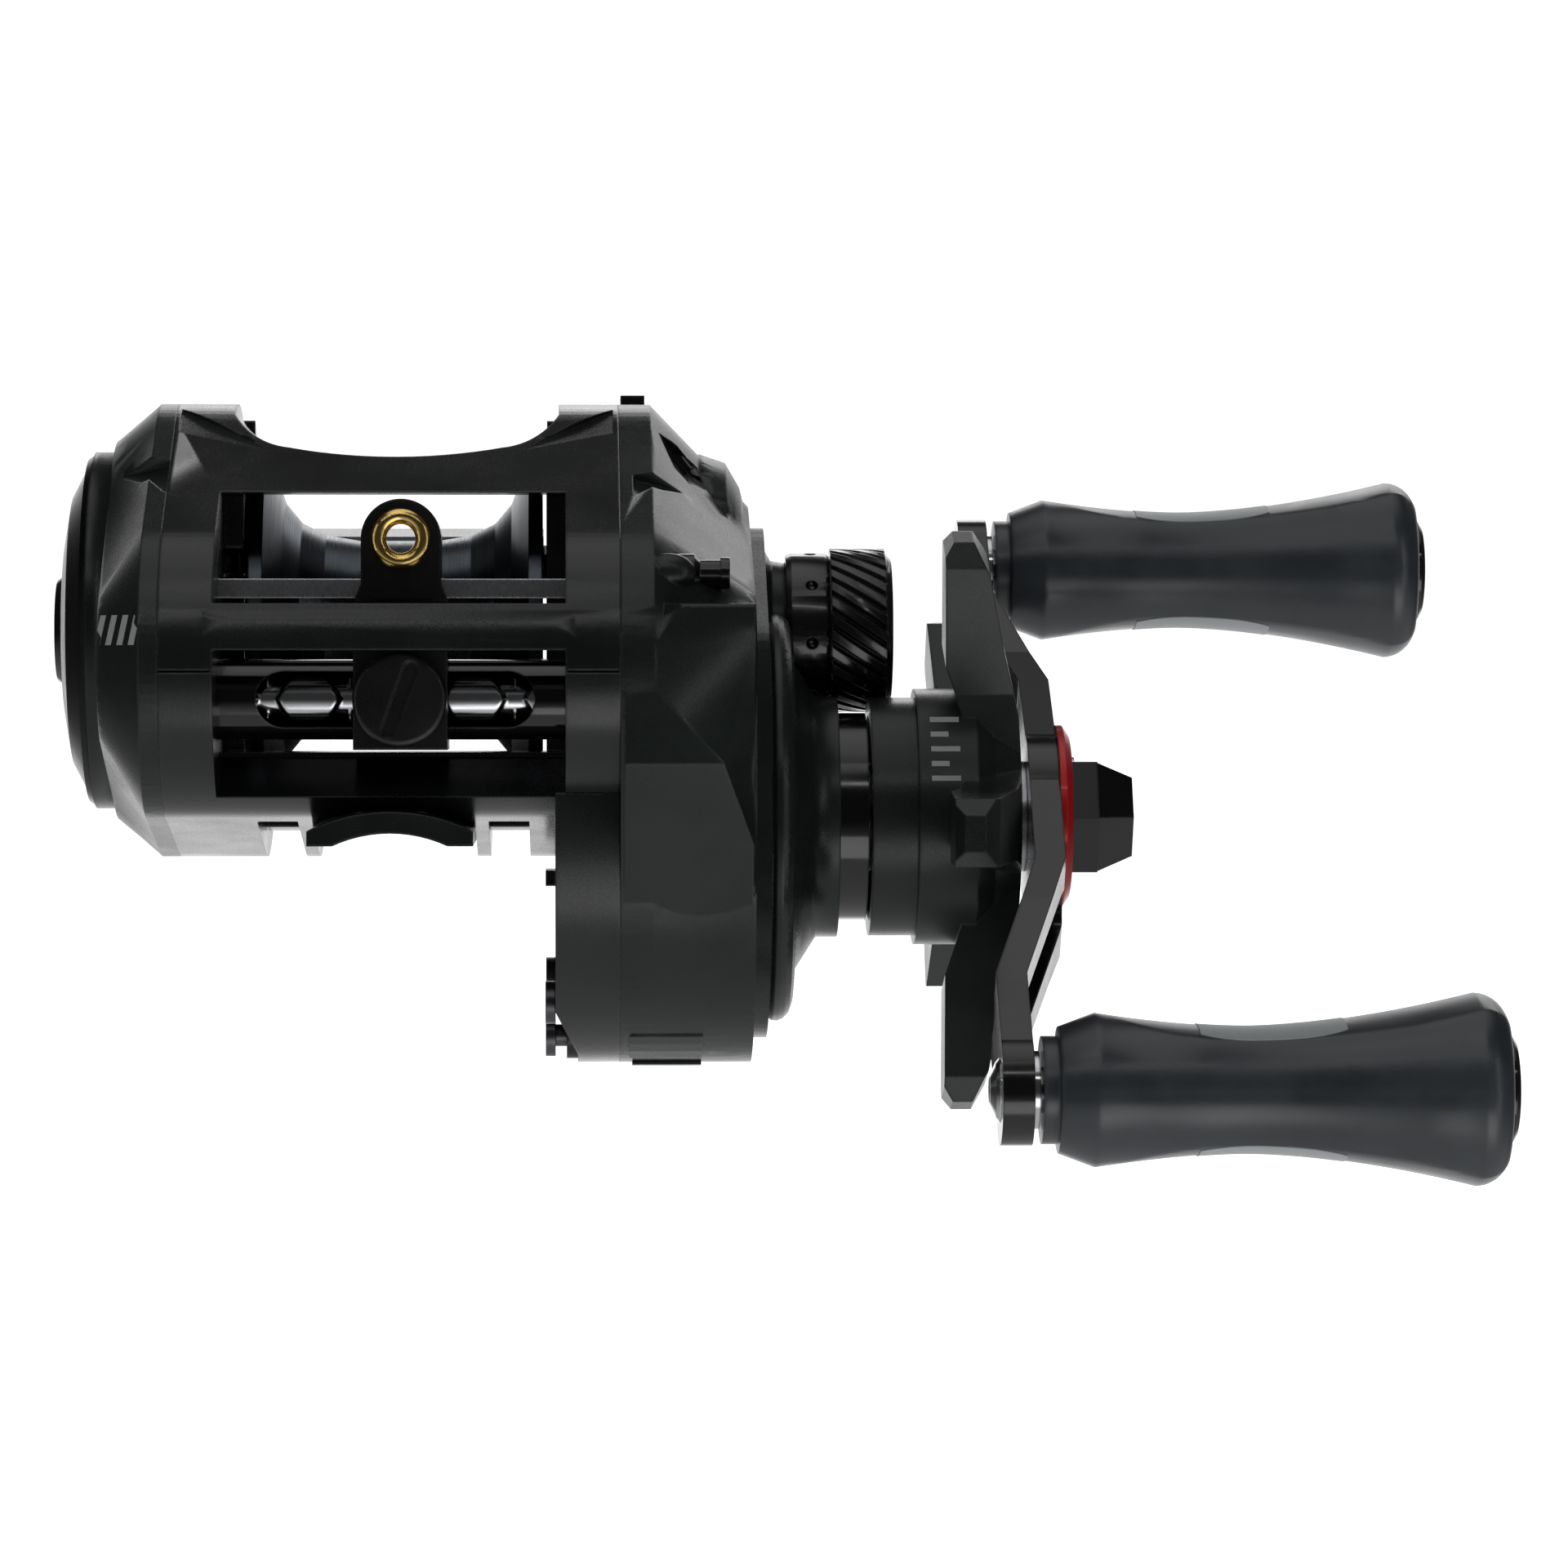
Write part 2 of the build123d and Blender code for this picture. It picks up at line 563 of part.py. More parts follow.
# ---- cast control ----
def cast_cap():
    """Hollow knob: a plain band and a slant-knurled band."""
    low = side_plane(39.4, SPOOL) * make_face(Polyline(*ridged(30, 7.5, 7.0), close=True))
    high = side_plane(44.4, SPOOL) * Rot(0, 0, 26) * make_face(
        Polyline(*ridged(30, 7.5, 7.0), close=True))
    knurl = loft([low, high], ruled=True)
    band = turned([(35.3, 0), (35.3, 6.9), (35.8, 7.1), (38.9, 7.1), (39.4, 6.8), (39.4, 0)], SPOOL)
    nose = turned([(44.4, 0), (44.4, 7.2), (45.0, 6.6), (45.0, 0)], SPOOL)
    solid = band + knurl + nose
    solid -= disc(35, 38.2, CAP_BORE, SPOOL)
    solid -= disc(38.0, 41.0, 2.6, SPOOL)
    for angle in range(0, 360, 45):
        y, z = polar(7.1, math.radians(angle + 10), SPOOL)
        solid -= Pos(37.6, y, z) * Sphere(0.55)
    return solid


def cast_shim():
    return disc(40.2, 41.0, 2.5, SPOOL)


# ---- level wind ----
def worm_guard():
    """Slotted tube round the worm; the pawl reaches in through the slot."""
    tube = ring(-WINDOW_X - 1.2, CHEEK_R, TUBE_R, TUBE_BORE, WORM)
    front = Plane(origin=(0.4, WORM[0], WORM[1]), x_dir=(1, 0, 0), z_dir=(0, -1, 0))
    slot = extrude(front * SlotOverall(24.3, 4.9), amount=6)
    return tube - slot


def worm_shaft():
    """Worm with two crossing helical grooves shown as paired vee rings."""
    solid = disc(-17.0, 24.0, 1.2, WORM) + disc(-13.4, 14.2, 2.3, WORM)
    pitch = 3.6
    for n in range(7):
        x = -10.6 + n * pitch
        for lean in (-20, 20):
            cutter = Torus(2.55, 0.55)
            solid -= Pos(x, WORM[0], WORM[1]) * Rot(0, 90, 0) * Rot(lean, 0, 0) * cutter
    return solid


def worm_bush_left():
    return ring(-17.6, -15.6, 2.7, 1.25, WORM)


def worm_bush_right():
    return ring(17.0, 19.9, 2.7, 1.25, WORM)


def guide_rail():
    return along_x(Rectangle(*RAIL_SIZE), -WINDOW_X - 1.0, WINDOW_X + 1.0, RAIL)


def line_guide():
    """Carriage: ring block on top, waist, and a lower block round the worm guard."""
    front = Plane(origin=(GUIDE_X, RING_Y, 0), x_dir=(1, 0, 0), z_dir=(0, -1, 0))
    upper = make_face([
        ThreePointArc((3.5, RING_Z), (0, RING_Z + 3.5), (-3.5, RING_Z)),
        Polyline((-3.5, RING_Z), (-3.5, RING_Z - 3.9), (-4.1, RING_Z - 5.4), (-4.1, 19.0),
                 (4.1, 19.0), (4.1, RING_Z - 5.4), (3.5, RING_Z - 3.9), (3.5, RING_Z)),
    ])
    block = extrude(front * upper, amount=-5.6)
    block -= box(-9, 9, RING_Y + 0.9 - 3, RING_Y + 0.9, 16, 21.4)
    spine = box(GUIDE_X - 4.1, GUIDE_X + 4.1, RING_Y + 0.9, RING_Y + 3.4, 8.6, 19.5)
    lower = box(GUIDE_X - 4.1, GUIDE_X + 4.1, WORM[0] - 5.0, WORM[0] + 5.0, 8.3, 17.1)
    lower -= box(-30, 30, WORM[0] - 8, WORM[0] + 8, 17.2, 20)
    solid = block + lower
    solid += spine & box(-9, 9, WORM[0] - 5.0, 0, 8.6, 21.5)
    solid -= disc(-30, 30, TUBE_R + TUBE_FIT, WORM)
    solid -= along_x(Rectangle(*(side + 2 * RAIL_FIT for side in RAIL_SIZE)), -30, 30, RAIL)
    eye = Pos(GUIDE_X, RING_Y, RING_Z) * Rot(90, 0, 0) * Cylinder(2.6, 20)
    pawl_hole = Pos(GUIDE_X, WORM[0] - 5, WORM[1]) * Rot(90, 0, 0) * Cylinder(1.9, 8)
    return solid - eye - pawl_hole


def line_ring():
    """Polished insert with a rounded throat."""
    profile = make_face([
        Polyline((2.6, -0.5), (2.6, 5.4), (1.9, 5.8), (1.5, 5.4)),
        Line((1.5, 5.4), (1.35, 2.6)),
        Line((1.35, 2.6), (1.5, 0.4)),
        ThreePointArc((1.5, 0.4), (1.95, -0.85), (2.6, -0.5)),
    ])
    plane = Plane(origin=(GUIDE_X, RING_Y, RING_Z), x_dir=(1, 0, 0), z_dir=(0, 0, 1))
    return revolve(plane * profile, Axis((GUIDE_X, RING_Y, RING_Z), (0, 1, 0)))


def pawl():
    body = Pos(GUIDE_X, WORM[0] - 4.3, WORM[1]) * Rot(90, 0, 0) * Cylinder(1.85, 3.2)
    blade = box(GUIDE_X - 0.35, GUIDE_X + 0.35, WORM[0] - 2.9, WORM[0] - 2.35,
                WORM[1] - 1.2, WORM[1] + 1.2)
    return body + blade


def pawl_cap():
    """Round cap with a coin slot."""
    front = Plane(origin=(GUIDE_X, WORM[0] - 5.95, WORM[1]), x_dir=(1, 0, 0), z_dir=(0, -1, 0))
    cap = extrude(front * Circle(4.1), amount=1.8)
    cap = fillet(cap.faces().sort_by(Axis.Y)[0].edges(), 0.5)
    slot = extrude(front * Rot(0, 0, 70) * SlotOverall(7.0, 1.3), amount=3)
    return cap - (slot & Pos(GUIDE_X, WORM[0] - 8.7, WORM[1]) * Box(20, 2.6, 20))


# ---- drag star ----
def star_arm(angle):
    """One blade of the star: it curves inboard from the hub and ends in a chamfered tip."""
    blade = make_face(Polyline((52.0, 8), (50.4, 12), (49.2, 15.5), (49.0, STAR_R - 1.2),
                               (49.8, STAR_R), (51.6, STAR_R), (53.0, STAR_R - 2.6), (54.4, 17),
                               (55.8, 11), (56.0, 8), close=True))
    width = make_face(Polyline((-4.6, 8), (4.6, 8), (3.2, 13), (3.0, STAR_R - 2), (1.6, STAR_R),
                               (-1.6, STAR_R), (-3.0, STAR_R - 2), (-3.2, 13), close=True))
    slab = extrude(Plane.XZ * blade, amount=6, both=True)
    outline = extrude(side_plane(40) * width, amount=20)
    return Pos(0, *DRIVE) * Rot(angle, 0, 0) * (slab & outline)


def drag_star():
    """Five blades on a stepped hub, hollow towards the case."""
    hub = turned([(42.6, 3.1), (42.6, 10.8), (46.7, 10.8), (46.7, 11.6), (52.0, 11.6), (53.6, 10.2),
                  (56.0, 9.2), (56.0, 3.1)], DRIVE)
    for n in range(STAR_ARMS):
        hub += star_arm(STAR_TURN + 360 / STAR_ARMS * n)
    hub -= ring(40, 46.0, 9.2, 4.9, DRIVE)
    hub -= disc(54.0, 57, 7.0, DRIVE)
    return hub - disc(40, 60, 3.08, DRIVE)


def star_spring():
    """Two dished washers that load the star."""
    cups = []
    for lo, hi in ((54.05, 54.35), (55.05, 54.75)):
        cups.append(turned([(lo, 3.1), (hi, 6.6), (hi + 0.3, 6.6), (lo + 0.3, 3.1)], DRIVE))
    return cups


def star_collar():
    return ring(55.4, ARM_MID_X, 5.0, 3.02, DRIVE)


# ---- handle ----
def handle_side():
    """The bar seen from its edge: flat middle, a bend each side, flat ends."""
    inner = [(0, ARM_MID_X), (13.0, ARM_MID_X), (28.0, ARM_END_X), (KNOB_REACH + 6, ARM_END_X)]
    left = [(x, -r) for r, x in reversed(inner[1:])]
    right = [(x, r) for r, x in inner[1:]]
    near = left + right
    far = [(x + ARM_T, r) for x, r in reversed(near)]
    return make_face(Polyline(*near, *far, close=True))


def handle_plan():
    """The bar seen along the drive axis: wide middle, a slot in each arm, round ends."""
    plan = Circle(7.6)
    for sign in (-1, 1):
        plan += Pos(0, sign * KNOB_REACH) * Circle(4.8)
        plan += make_face(Polyline((-7.2, 0), (-5.2, sign * 18), (-4.6, sign * KNOB_REACH),
                                   (4.6, sign * KNOB_REACH), (5.2, sign * 18), (7.2, 0), close=True))
    for sign in (-1, 1):
        plan -= Pos(0, sign * 20.5) * Rot(0, 0, 90) * SlotOverall(17, 4.6)
        plan -= Pos(0, sign * KNOB_REACH) * Circle(1.6)
    return plan - Circle(3.02)


def handle_arm():
    """Bent bar on the drive shaft, with a knob axle at each end."""
    bent = extrude(Plane.XZ * handle_side(), amount=12, both=True)
    solid = bent & extrude(side_plane(45) * handle_plan(), amount=20)
    return Pos(0, *DRIVE) * Rot(-HANDLE_TILT, 0, 0) * solid


def handle_washer():
    """Thin dished cover plate under the nut."""
    x = ARM_MID_X + ARM_T
    return turned([(x, 3.1), (x, 8.3), (x + 0.6, 8.3), (x + 1.2, 7.4), (x + 1.2, 3.1)], DRIVE)


def handle_nut():
    """Hex nut with a faceted, tapering closed end."""
    hexagon = RegularPolygon(NUT_FLATS / 2, 6, major_radius=False)
    skirt = along_x(hexagon, NUT_X, NUT_X + 2.5, DRIVE)
    low = side_plane(NUT_X + 2.5, DRIVE) * RegularPolygon(NUT_FLATS / 2 - 0.1, 6, major_radius=False)
    high = side_plane(NUT_X + 5.7, DRIVE) * RegularPolygon(3.55, 6, major_radius=False)
    solid = skirt + loft([low, high], ruled=True)
    solid -= disc(NUT_X - 1, NUT_X + 5.0, 2.4, DRIVE)
    solid -= disc(NUT_X + 5.2, NUT_X + 6, 2.6, DRIVE)
    return solid


def nut_lock_screw():
    y = DRIVE[0] + 6.7 * TO_KNOB[0]
    z = DRIVE[1] + 6.7 * TO_KNOB[1]
    x = ARM_MID_X + ARM_T + 1.2
    head = disc(x, x + 1.0, 1.3, (y, z))
    return head - box(x + 0.6, x + 2, y - 0.25, y + 0.25, z - 2, z + 2)


def knob_post(at):
    """Riveted axle that a knob turns on."""
    x = ARM_END_X
    head = turned([(x - 0.9, 0), (x - 0.9, 1.2), (x - 0.4, 2.4), (x, 2.9), (x, 0)], at)
    pin = disc(ARM_END_X, ARM_END_X + ARM_T, 1.6, at)
    shoulder = disc(ARM_END_X + ARM_T, ARM_END_X + ARM_T + 0.6, 3.4, at)
    return head + pin + shoulder + disc(ARM_END_X + ARM_T + 0.6, 91.0, 2.0, at)


def knob_profile(widen):
    """Half profile of the grip, its radii widened by a factor outside the bore."""
    x = KNOB_X
    rim = [(4.6, 5.4), (6.6, 8.25), (7.6, 5.0)]
    scaled = [(a * widen, b * widen) for a, b in rim]
    return make_face([
        Polyline((x + 40.0, 3.6), (x + 36.6, 3.6), (x + 36.6, 2.08), (x, 2.08), (x, 4.4),
                 (x + 1.4, 4.6), (x + 1.4, scaled[0][1]), (x + 4.6, scaled[1][0])),
        Spline((x + 4.6, scaled[1][0]), (x + 10.6, 5.85 * widen), (x + 17.5, 5.4 * widen),
               (x + 27, 6.15 * widen), (x + 36.2, scaled[1][1]), tangents=[(1, -0.14), (1, 0.2)]),
        ThreePointArc((x + 36.2, scaled[1][1]), (x + 38.9, scaled[2][0]), (x + 40.0, scaled[2][1])),
        Line((x + 40.0, scaled[2][1]), (x + 40.0, 3.6)),
    ])


def knob(at):
    """Waisted grip with a flat on its top and underside, a bore and a recess for its cap."""
    plane = Plane(origin=(0, at[0], at[1]), x_dir=(1, 0, 0), z_dir=(0, -1, 0))
    grip = revolve(plane * knob_profile(1.12), Axis((0, at[0], at[1]), (1, 0, 0)))
    half = knob_profile(1.0)
    flats = extrude(plane * half, amount=12, both=True)
    flats += extrude(plane * mirror(half, about=Plane.XZ), amount=12, both=True)
    flats += box(KNOB_X, KNOB_X + 40, at[0] - 12, at[0] + 12, at[1] - 3.7, at[1] + 3.7)
    return grip & flats


def knob_cap(at):
    x = KNOB_X + 38.2
    solid = turned([(x, 0), (x, 3.6), (x + 1.8, 3.6), (x + 1.8, 4.9), (x + 2.3, 4.9), (x + 2.7, 4.3),
                    (x + 2.7, 0)], at)
    return solid - box(x + 2.3, x + 3, at[0] - 2.4, at[0] + 2.4, at[1] - 0.4, at[1] + 0.4)


# ---- small fittings ----
def thumb_bar():
    """Rounded thumb pad with a tongue at each end that runs in the cheek slots."""
    half = SHELF_X - 0.35
    pad = along_x(RectangleRounded(7.0, 3.0, 1.1), -half, half)
    pad = Pos(0, *THUMB_PAD) * Rot(10, 0, 0) * pad
    neck = box(-half, half, THUMB_TONGUE[0] - 0.6, THUMB_TONGUE[0] + 2.2, THUMB_TONGUE[1] - 1.2,
               THUMB_PAD[1])
    return pad + neck + tongue_track(half - 0.1, SHELF_X + 1.7, 0.0, 0.0)


def flip_switch():
    """Ribbed slider on top of the gear side."""
    body = box(20.3, 22.5, SWITCH_Y - 2.4, SWITCH_Y + 2.4, SWITCH_TOP - 1.0, SWITCH_TOP + 1.9)
    for n in range(4):
        ridge = SWITCH_Y - 1.6 + n * 1.07
        body -= box(20, 23, ridge - 0.2, ridge + 0.2, SWITCH_TOP + 1.4, SWITCH_TOP + 3)
    return body


def switch_slot():
    return box(20.1, 22.7, SWITCH_Y - 2.7, SWITCH_Y + 2.7 + SWITCH_TRAVEL, SWITCH_TOP - 1.1, 50)


def hook_post():
    """Stepped post on the gear case that holds a hook."""
    at = (-27.3, 23.7)
    return turned([(24.6, 0), (24.6, 1.7), (26.4, 1.7), (26.9, 1.15), (28.7, 1.15), (28.7, 1.4),
                   (29.5, 1.4), (29.5, 0)], at)


def build():
    save("frame", frame())
    save("front_hood", hood())
    save("palm_cover", palm_cover())
    save("palm_insert", palm_insert())
    save("palm_trim_ring", palm_trim())
    save("brake_dial", brake_dial())
    save("brake_housing", brake_housing())
    save("magnet_carrier", magnet_carrier())
    save("brake_magnets", *magnets())
    save("spool_bearing_left", bearing(-19.4, -16.9, 3.98, 1.42, SPOOL))
    save("spool", spool())
    save("spool_shaft", spool_shaft())
    save("clutch_pin", clutch_pin())
    save("pinion", pinion())
    save("spool_bearing_right", bearing(33.0, 36.0, 4.5, 1.27, SPOOL))
    save("clutch_yoke", clutch_yoke())
    save("yoke_posts", *yoke_posts())
    save("yoke_springs", *yoke_springs())
    save("main_gear", main_gear())
    save("drag_washer", drag_washer())
    save("drag_plate", drag_plate())
    save("levelwind_gear", levelwind_gear())
    save("worm_gear", worm_gear())
    save("drive_shaft", drive_shaft())
    save("drive_shaft_bush", ring(19.0, 21.5, 3.98, SHAFT_R + SHAFT_FIT, DRIVE))
    save("clutch_tube", clutch_tube())
    save("anti_reverse_bearing", anti_reverse_bearing())
    save("bearing_retainer", bearing_retainer())
    save("gear_side_plate", gear_side_plate())
    save("gear_cover", gear_cover())
    save("oil_port_plug", oil_port_plug())
    save("cast_control_cap", cast_cap())
    save("cast_control_shim", cast_shim())
    save("worm_guard", worm_guard())
    save("worm_shaft", worm_shaft())
    save("worm_bush_left", worm_bush_left())
    save("worm_bush_right", worm_bush_right())
    save("guide_rail", guide_rail())
    save("line_guide", line_guide())
    save("line_guide_ring", line_ring())
    save("pawl", pawl())
    save("pawl_cap", pawl_cap())
    save("drag_star", drag_star())
    save("star_springs", *star_spring())
    save("star_collar", star_collar())
    save("handle_arm", handle_arm())
    save("handle_washer", handle_washer())
    save("handle_nut", handle_nut())
    save("nut_lock_screw", nut_lock_screw())
    for name, at in (("high", KNOB_HIGH), ("low", KNOB_LOW)):
        save(f"knob_post_{name}", knob_post(at))
        save(f"knob_{name}", knob(at))
        save(f"knob_cap_{name}", knob_cap(at))
    save("thumb_bar", thumb_bar())
    save("flip_switch", flip_switch())
    save("hook_post", hook_post())
    save("case_screws", *case_screws())
    for name, shape in PARTS.items():
        export_step(shape, f"parts/{name}.step")


build()
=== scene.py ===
import json
import math

import bmesh
import bpy
from mathutils import Matrix, Vector


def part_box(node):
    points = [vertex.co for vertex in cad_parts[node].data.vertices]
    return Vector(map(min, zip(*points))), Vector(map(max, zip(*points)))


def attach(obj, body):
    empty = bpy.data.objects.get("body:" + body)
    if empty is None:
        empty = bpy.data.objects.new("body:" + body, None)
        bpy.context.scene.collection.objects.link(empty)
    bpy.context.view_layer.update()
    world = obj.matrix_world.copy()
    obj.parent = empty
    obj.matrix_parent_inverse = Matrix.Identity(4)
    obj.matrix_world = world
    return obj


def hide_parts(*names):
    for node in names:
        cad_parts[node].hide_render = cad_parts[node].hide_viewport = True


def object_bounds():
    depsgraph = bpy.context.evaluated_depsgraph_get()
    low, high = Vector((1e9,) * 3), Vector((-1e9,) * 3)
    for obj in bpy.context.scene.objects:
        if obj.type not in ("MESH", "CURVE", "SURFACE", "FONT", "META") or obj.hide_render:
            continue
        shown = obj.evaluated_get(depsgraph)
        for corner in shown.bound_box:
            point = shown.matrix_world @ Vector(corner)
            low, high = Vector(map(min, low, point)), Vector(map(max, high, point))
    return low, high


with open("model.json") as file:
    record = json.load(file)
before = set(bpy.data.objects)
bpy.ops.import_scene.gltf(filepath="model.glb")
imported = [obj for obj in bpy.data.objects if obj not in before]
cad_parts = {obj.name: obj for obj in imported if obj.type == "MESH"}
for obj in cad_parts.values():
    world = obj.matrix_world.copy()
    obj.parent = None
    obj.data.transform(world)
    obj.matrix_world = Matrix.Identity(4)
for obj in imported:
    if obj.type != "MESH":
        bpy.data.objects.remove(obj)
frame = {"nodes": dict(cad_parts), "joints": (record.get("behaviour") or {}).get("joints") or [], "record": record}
CAD_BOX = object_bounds()
NODES = frame["nodes"]
MM = 0.001

# The finished look of a low-profile baitcasting reel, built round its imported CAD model. In metres.
# +X runs along the spool axis to the handle, +Y to the rear, +Z up.
# Points (x, z) on a shell are in millimetres, as seen from the front.


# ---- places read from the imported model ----
def middle(node):
    low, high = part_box(node)
    return (low + high) / 2


def joint_axis(name):
    """A point on a joint's axis."""
    return Vector(next(j["pos_m"] for j in frame["joints"] if j["name"] == name))


SPOOL_AXIS = joint_axis("spool_spin")
DRIVE_AXIS = joint_axis("crank_spin")
WORM_AXIS = joint_axis("worm_spin")


# ---- node trees ----
class Tree:
    """Short calls for building one material's node tree."""

    def __init__(self, name):
        self.material = bpy.data.materials.new(name)
        self.material.use_nodes = True
        self.nodes = self.material.node_tree.nodes
        self.links = self.material.node_tree.links
        self.shader = self.nodes["Principled BSDF"]

    def add(self, kind, **settings):
        node = self.nodes.new(kind)
        for key, value in settings.items():
            setattr(node, key, value)
        return node

    def join(self, source, target):
        self.links.new(source, target)

    def feed(self, socket, value):
        """Set a socket to a number or colour, or link it to another socket."""
        if isinstance(value, (int, float)):
            socket.default_value = value
        elif isinstance(value, tuple):
            socket.default_value = (*value, 1.0)
        else:
            self.join(value, socket)

    def position(self):
        return self.add("ShaderNodeTexCoord").outputs["Object"]

    def noise(self, vector, scale, detail=4.0, rough=0.55):
        node = self.add("ShaderNodeTexNoise")
        node.inputs["Scale"].default_value = scale
        node.inputs["Detail"].default_value = detail
        node.inputs["Roughness"].default_value = rough
        self.join(vector, node.inputs["Vector"])
        return node.outputs["Fac"]

    def math(self, operation, first, second=0.0):
        node = self.add("ShaderNodeMath", operation=operation)
        self.feed(node.inputs[0], first)
        self.feed(node.inputs[1], second)
        return node.outputs[0]

    def remap(self, value, low, high, out_low, out_high):
        node = self.add("ShaderNodeMapRange")
        self.join(value, node.inputs["Value"])
        node.inputs["From Min"].default_value = low
        node.inputs["From Max"].default_value = high
        node.inputs["To Min"].default_value = out_low
        node.inputs["To Max"].default_value = out_high
        return node.outputs["Result"]

    def blend(self, fac, first, second):
        """A colour between two, each a colour tuple or a socket."""
        node = self.add("ShaderNodeMix", data_type="RGBA")
        self.feed(node.inputs["Factor"], fac)
        for key, value in (("A", first), ("B", second)):
            socket = next(s for s in node.inputs if s.name == key and s.type == "RGBA")
            self.feed(socket, value)
        return next(s for s in node.outputs if s.type == "RGBA")

    def bump(self, height, strength, distance=0.02 * MM, normal=None):
        node = self.add("ShaderNodeBump")
        node.inputs["Strength"].default_value = strength
        node.inputs["Distance"].default_value = distance
        self.join(height, node.inputs["Height"])
        if normal is not None:
            self.join(normal, node.inputs["Normal"])
        return node.outputs["Normal"]

    def edges(self, radius):
        """(rounded normal, mask that rises on edges)."""
        bevel = self.add("ShaderNodeBevel", samples=4)
        bevel.inputs["Radius"].default_value = radius
        geometry = self.add("ShaderNodeNewGeometry")
        dot = self.add("ShaderNodeVectorMath", operation="DOT_PRODUCT")
        self.join(bevel.outputs["Normal"], dot.inputs[0])
        self.join(geometry.outputs["Normal"], dot.inputs[1])
        mask = self.remap(dot.outputs["Value"], 0.995, 0.80, 0.0, 1.0)
        return bevel.outputs["Normal"], mask

    def around(self, axis):
        """Coordinates of a turned part: x and the radius about an X-parallel axis."""
        shift = self.add("ShaderNodeVectorMath", operation="SUBTRACT")
        self.join(self.position(), shift.inputs[0])
        shift.inputs[1].default_value = (0.0, axis.y, axis.z)
        parts = self.add("ShaderNodeSeparateXYZ")
        self.join(shift.outputs[0], parts.inputs[0])
        y2 = self.math("MULTIPLY", parts.outputs["Y"], parts.outputs["Y"])
        z2 = self.math("MULTIPLY", parts.outputs["Z"], parts.outputs["Z"])
        joined = self.add("ShaderNodeCombineXYZ")
        self.join(parts.outputs["X"], joined.inputs["X"])
        self.join(self.math("SQRT", self.math("ADD", y2, z2)), joined.inputs["Y"])
        return joined.outputs[0]

    def set(self, **values):
        for key, value in values.items():
            self.feed(self.shader.inputs[key.replace("_", " ")], value)


# ---- materials ----
def moulded(name, dark, light, rough, grain=0.35, specular=0.5):
    """Fibre-filled moulded plastic: fine spark texture, faint cloudiness, edges lighter in patches as wear and as
    a painted highlight.
    """
    t = Tree(name)
    at = t.position()
    normal, edge = t.edges(radius=0.3 * MM)
    cloud = t.noise(at, scale=90.0, detail=3.0)
    grit = t.noise(at, scale=5200.0, detail=2.0, rough=0.7)
    base = t.blend(t.remap(cloud, 0.35, 0.65, 0.0, 1.0), dark, light)
    # Lighter edge colour: partly wear, partly a painted highlight along the edges.
    wear_and_highlight = tuple(2.2 * c + 0.010 for c in light)
    patchy = t.remap(t.noise(at, scale=700.0), 0.35, 0.7, 0.1, 0.7)
    roughness = t.math("ADD", t.remap(cloud, 0.3, 0.7, rough - 0.05, rough + 0.05),
                       t.remap(grit, 0.3, 0.7, -0.04, 0.04))
    t.set(Base_Color=t.blend(t.math("MULTIPLY", edge, patchy), base, wear_and_highlight), Roughness=roughness,
          Specular_IOR_Level=specular, Normal=t.bump(grit, grain, normal=normal))
    return t.material


def polished(name, colour, rough, metallic=0.0, coat=0.0, specular=0.5):
    """Smooth gloss with faint smudges, hairline scuffs and a painted highlight along its edges."""
    t = Tree(name)
    at = t.position()
    normal, edge = t.edges(radius=0.22 * MM)
    smudge = t.noise(at, scale=160.0, detail=5.0, rough=0.65)
    stretch = t.add("ShaderNodeMapping")
    stretch.inputs["Scale"].default_value = (400.0, 6000.0, 2500.0)
    t.join(at, stretch.inputs["Vector"])
    scuff = t.noise(stretch.outputs[0], scale=1.0, detail=3.0, rough=0.7)
    # The lighter edge colour is a painted highlight.
    painted_edge_highlight = tuple(min(1.0, 1.6 * c + 0.015) for c in colour)
    t.set(Base_Color=t.blend(t.math("MULTIPLY", edge, 0.6), colour, painted_edge_highlight),
          Roughness=t.math("ADD", t.remap(smudge, 0.35, 0.75, rough, rough + 0.12),
                           t.remap(scuff, 0.62, 0.8, 0.0, 0.12)),
          Metallic=metallic, Coat_Weight=coat, Coat_Roughness=0.06, Specular_IOR_Level=specular,
          Normal=t.bump(smudge, 0.12, 0.03 * MM, normal))
    return t.material


def turned(name, colour, rough, axis):
    """Metal cut on a lathe: fine rings about its axis, and a painted highlight along its edges."""
    t = Tree(name)
    normal, edge = t.edges(radius=0.2 * MM)
    rings = t.noise(t.around(axis), scale=14000.0, detail=2.0, rough=0.6)
    stain = t.noise(t.position(), scale=260.0, detail=3.0)
    bright = tuple(min(1.0, 1.5 * c + 0.05) for c in colour)
    tone = t.blend(t.remap(stain, 0.35, 0.7, 0.0, 0.35), colour, bright)
    # Stains are the metal's own; the brighter colour on the edges is a painted highlight.
    t.set(Base_Color=t.blend(t.math("MULTIPLY", edge, 0.5), tone, bright), Metallic=1.0,
          Roughness=t.remap(rings, 0.3, 0.7, rough - 0.07, rough + 0.08),
          Normal=t.bump(rings, 0.15, normal=normal))
    return t.material


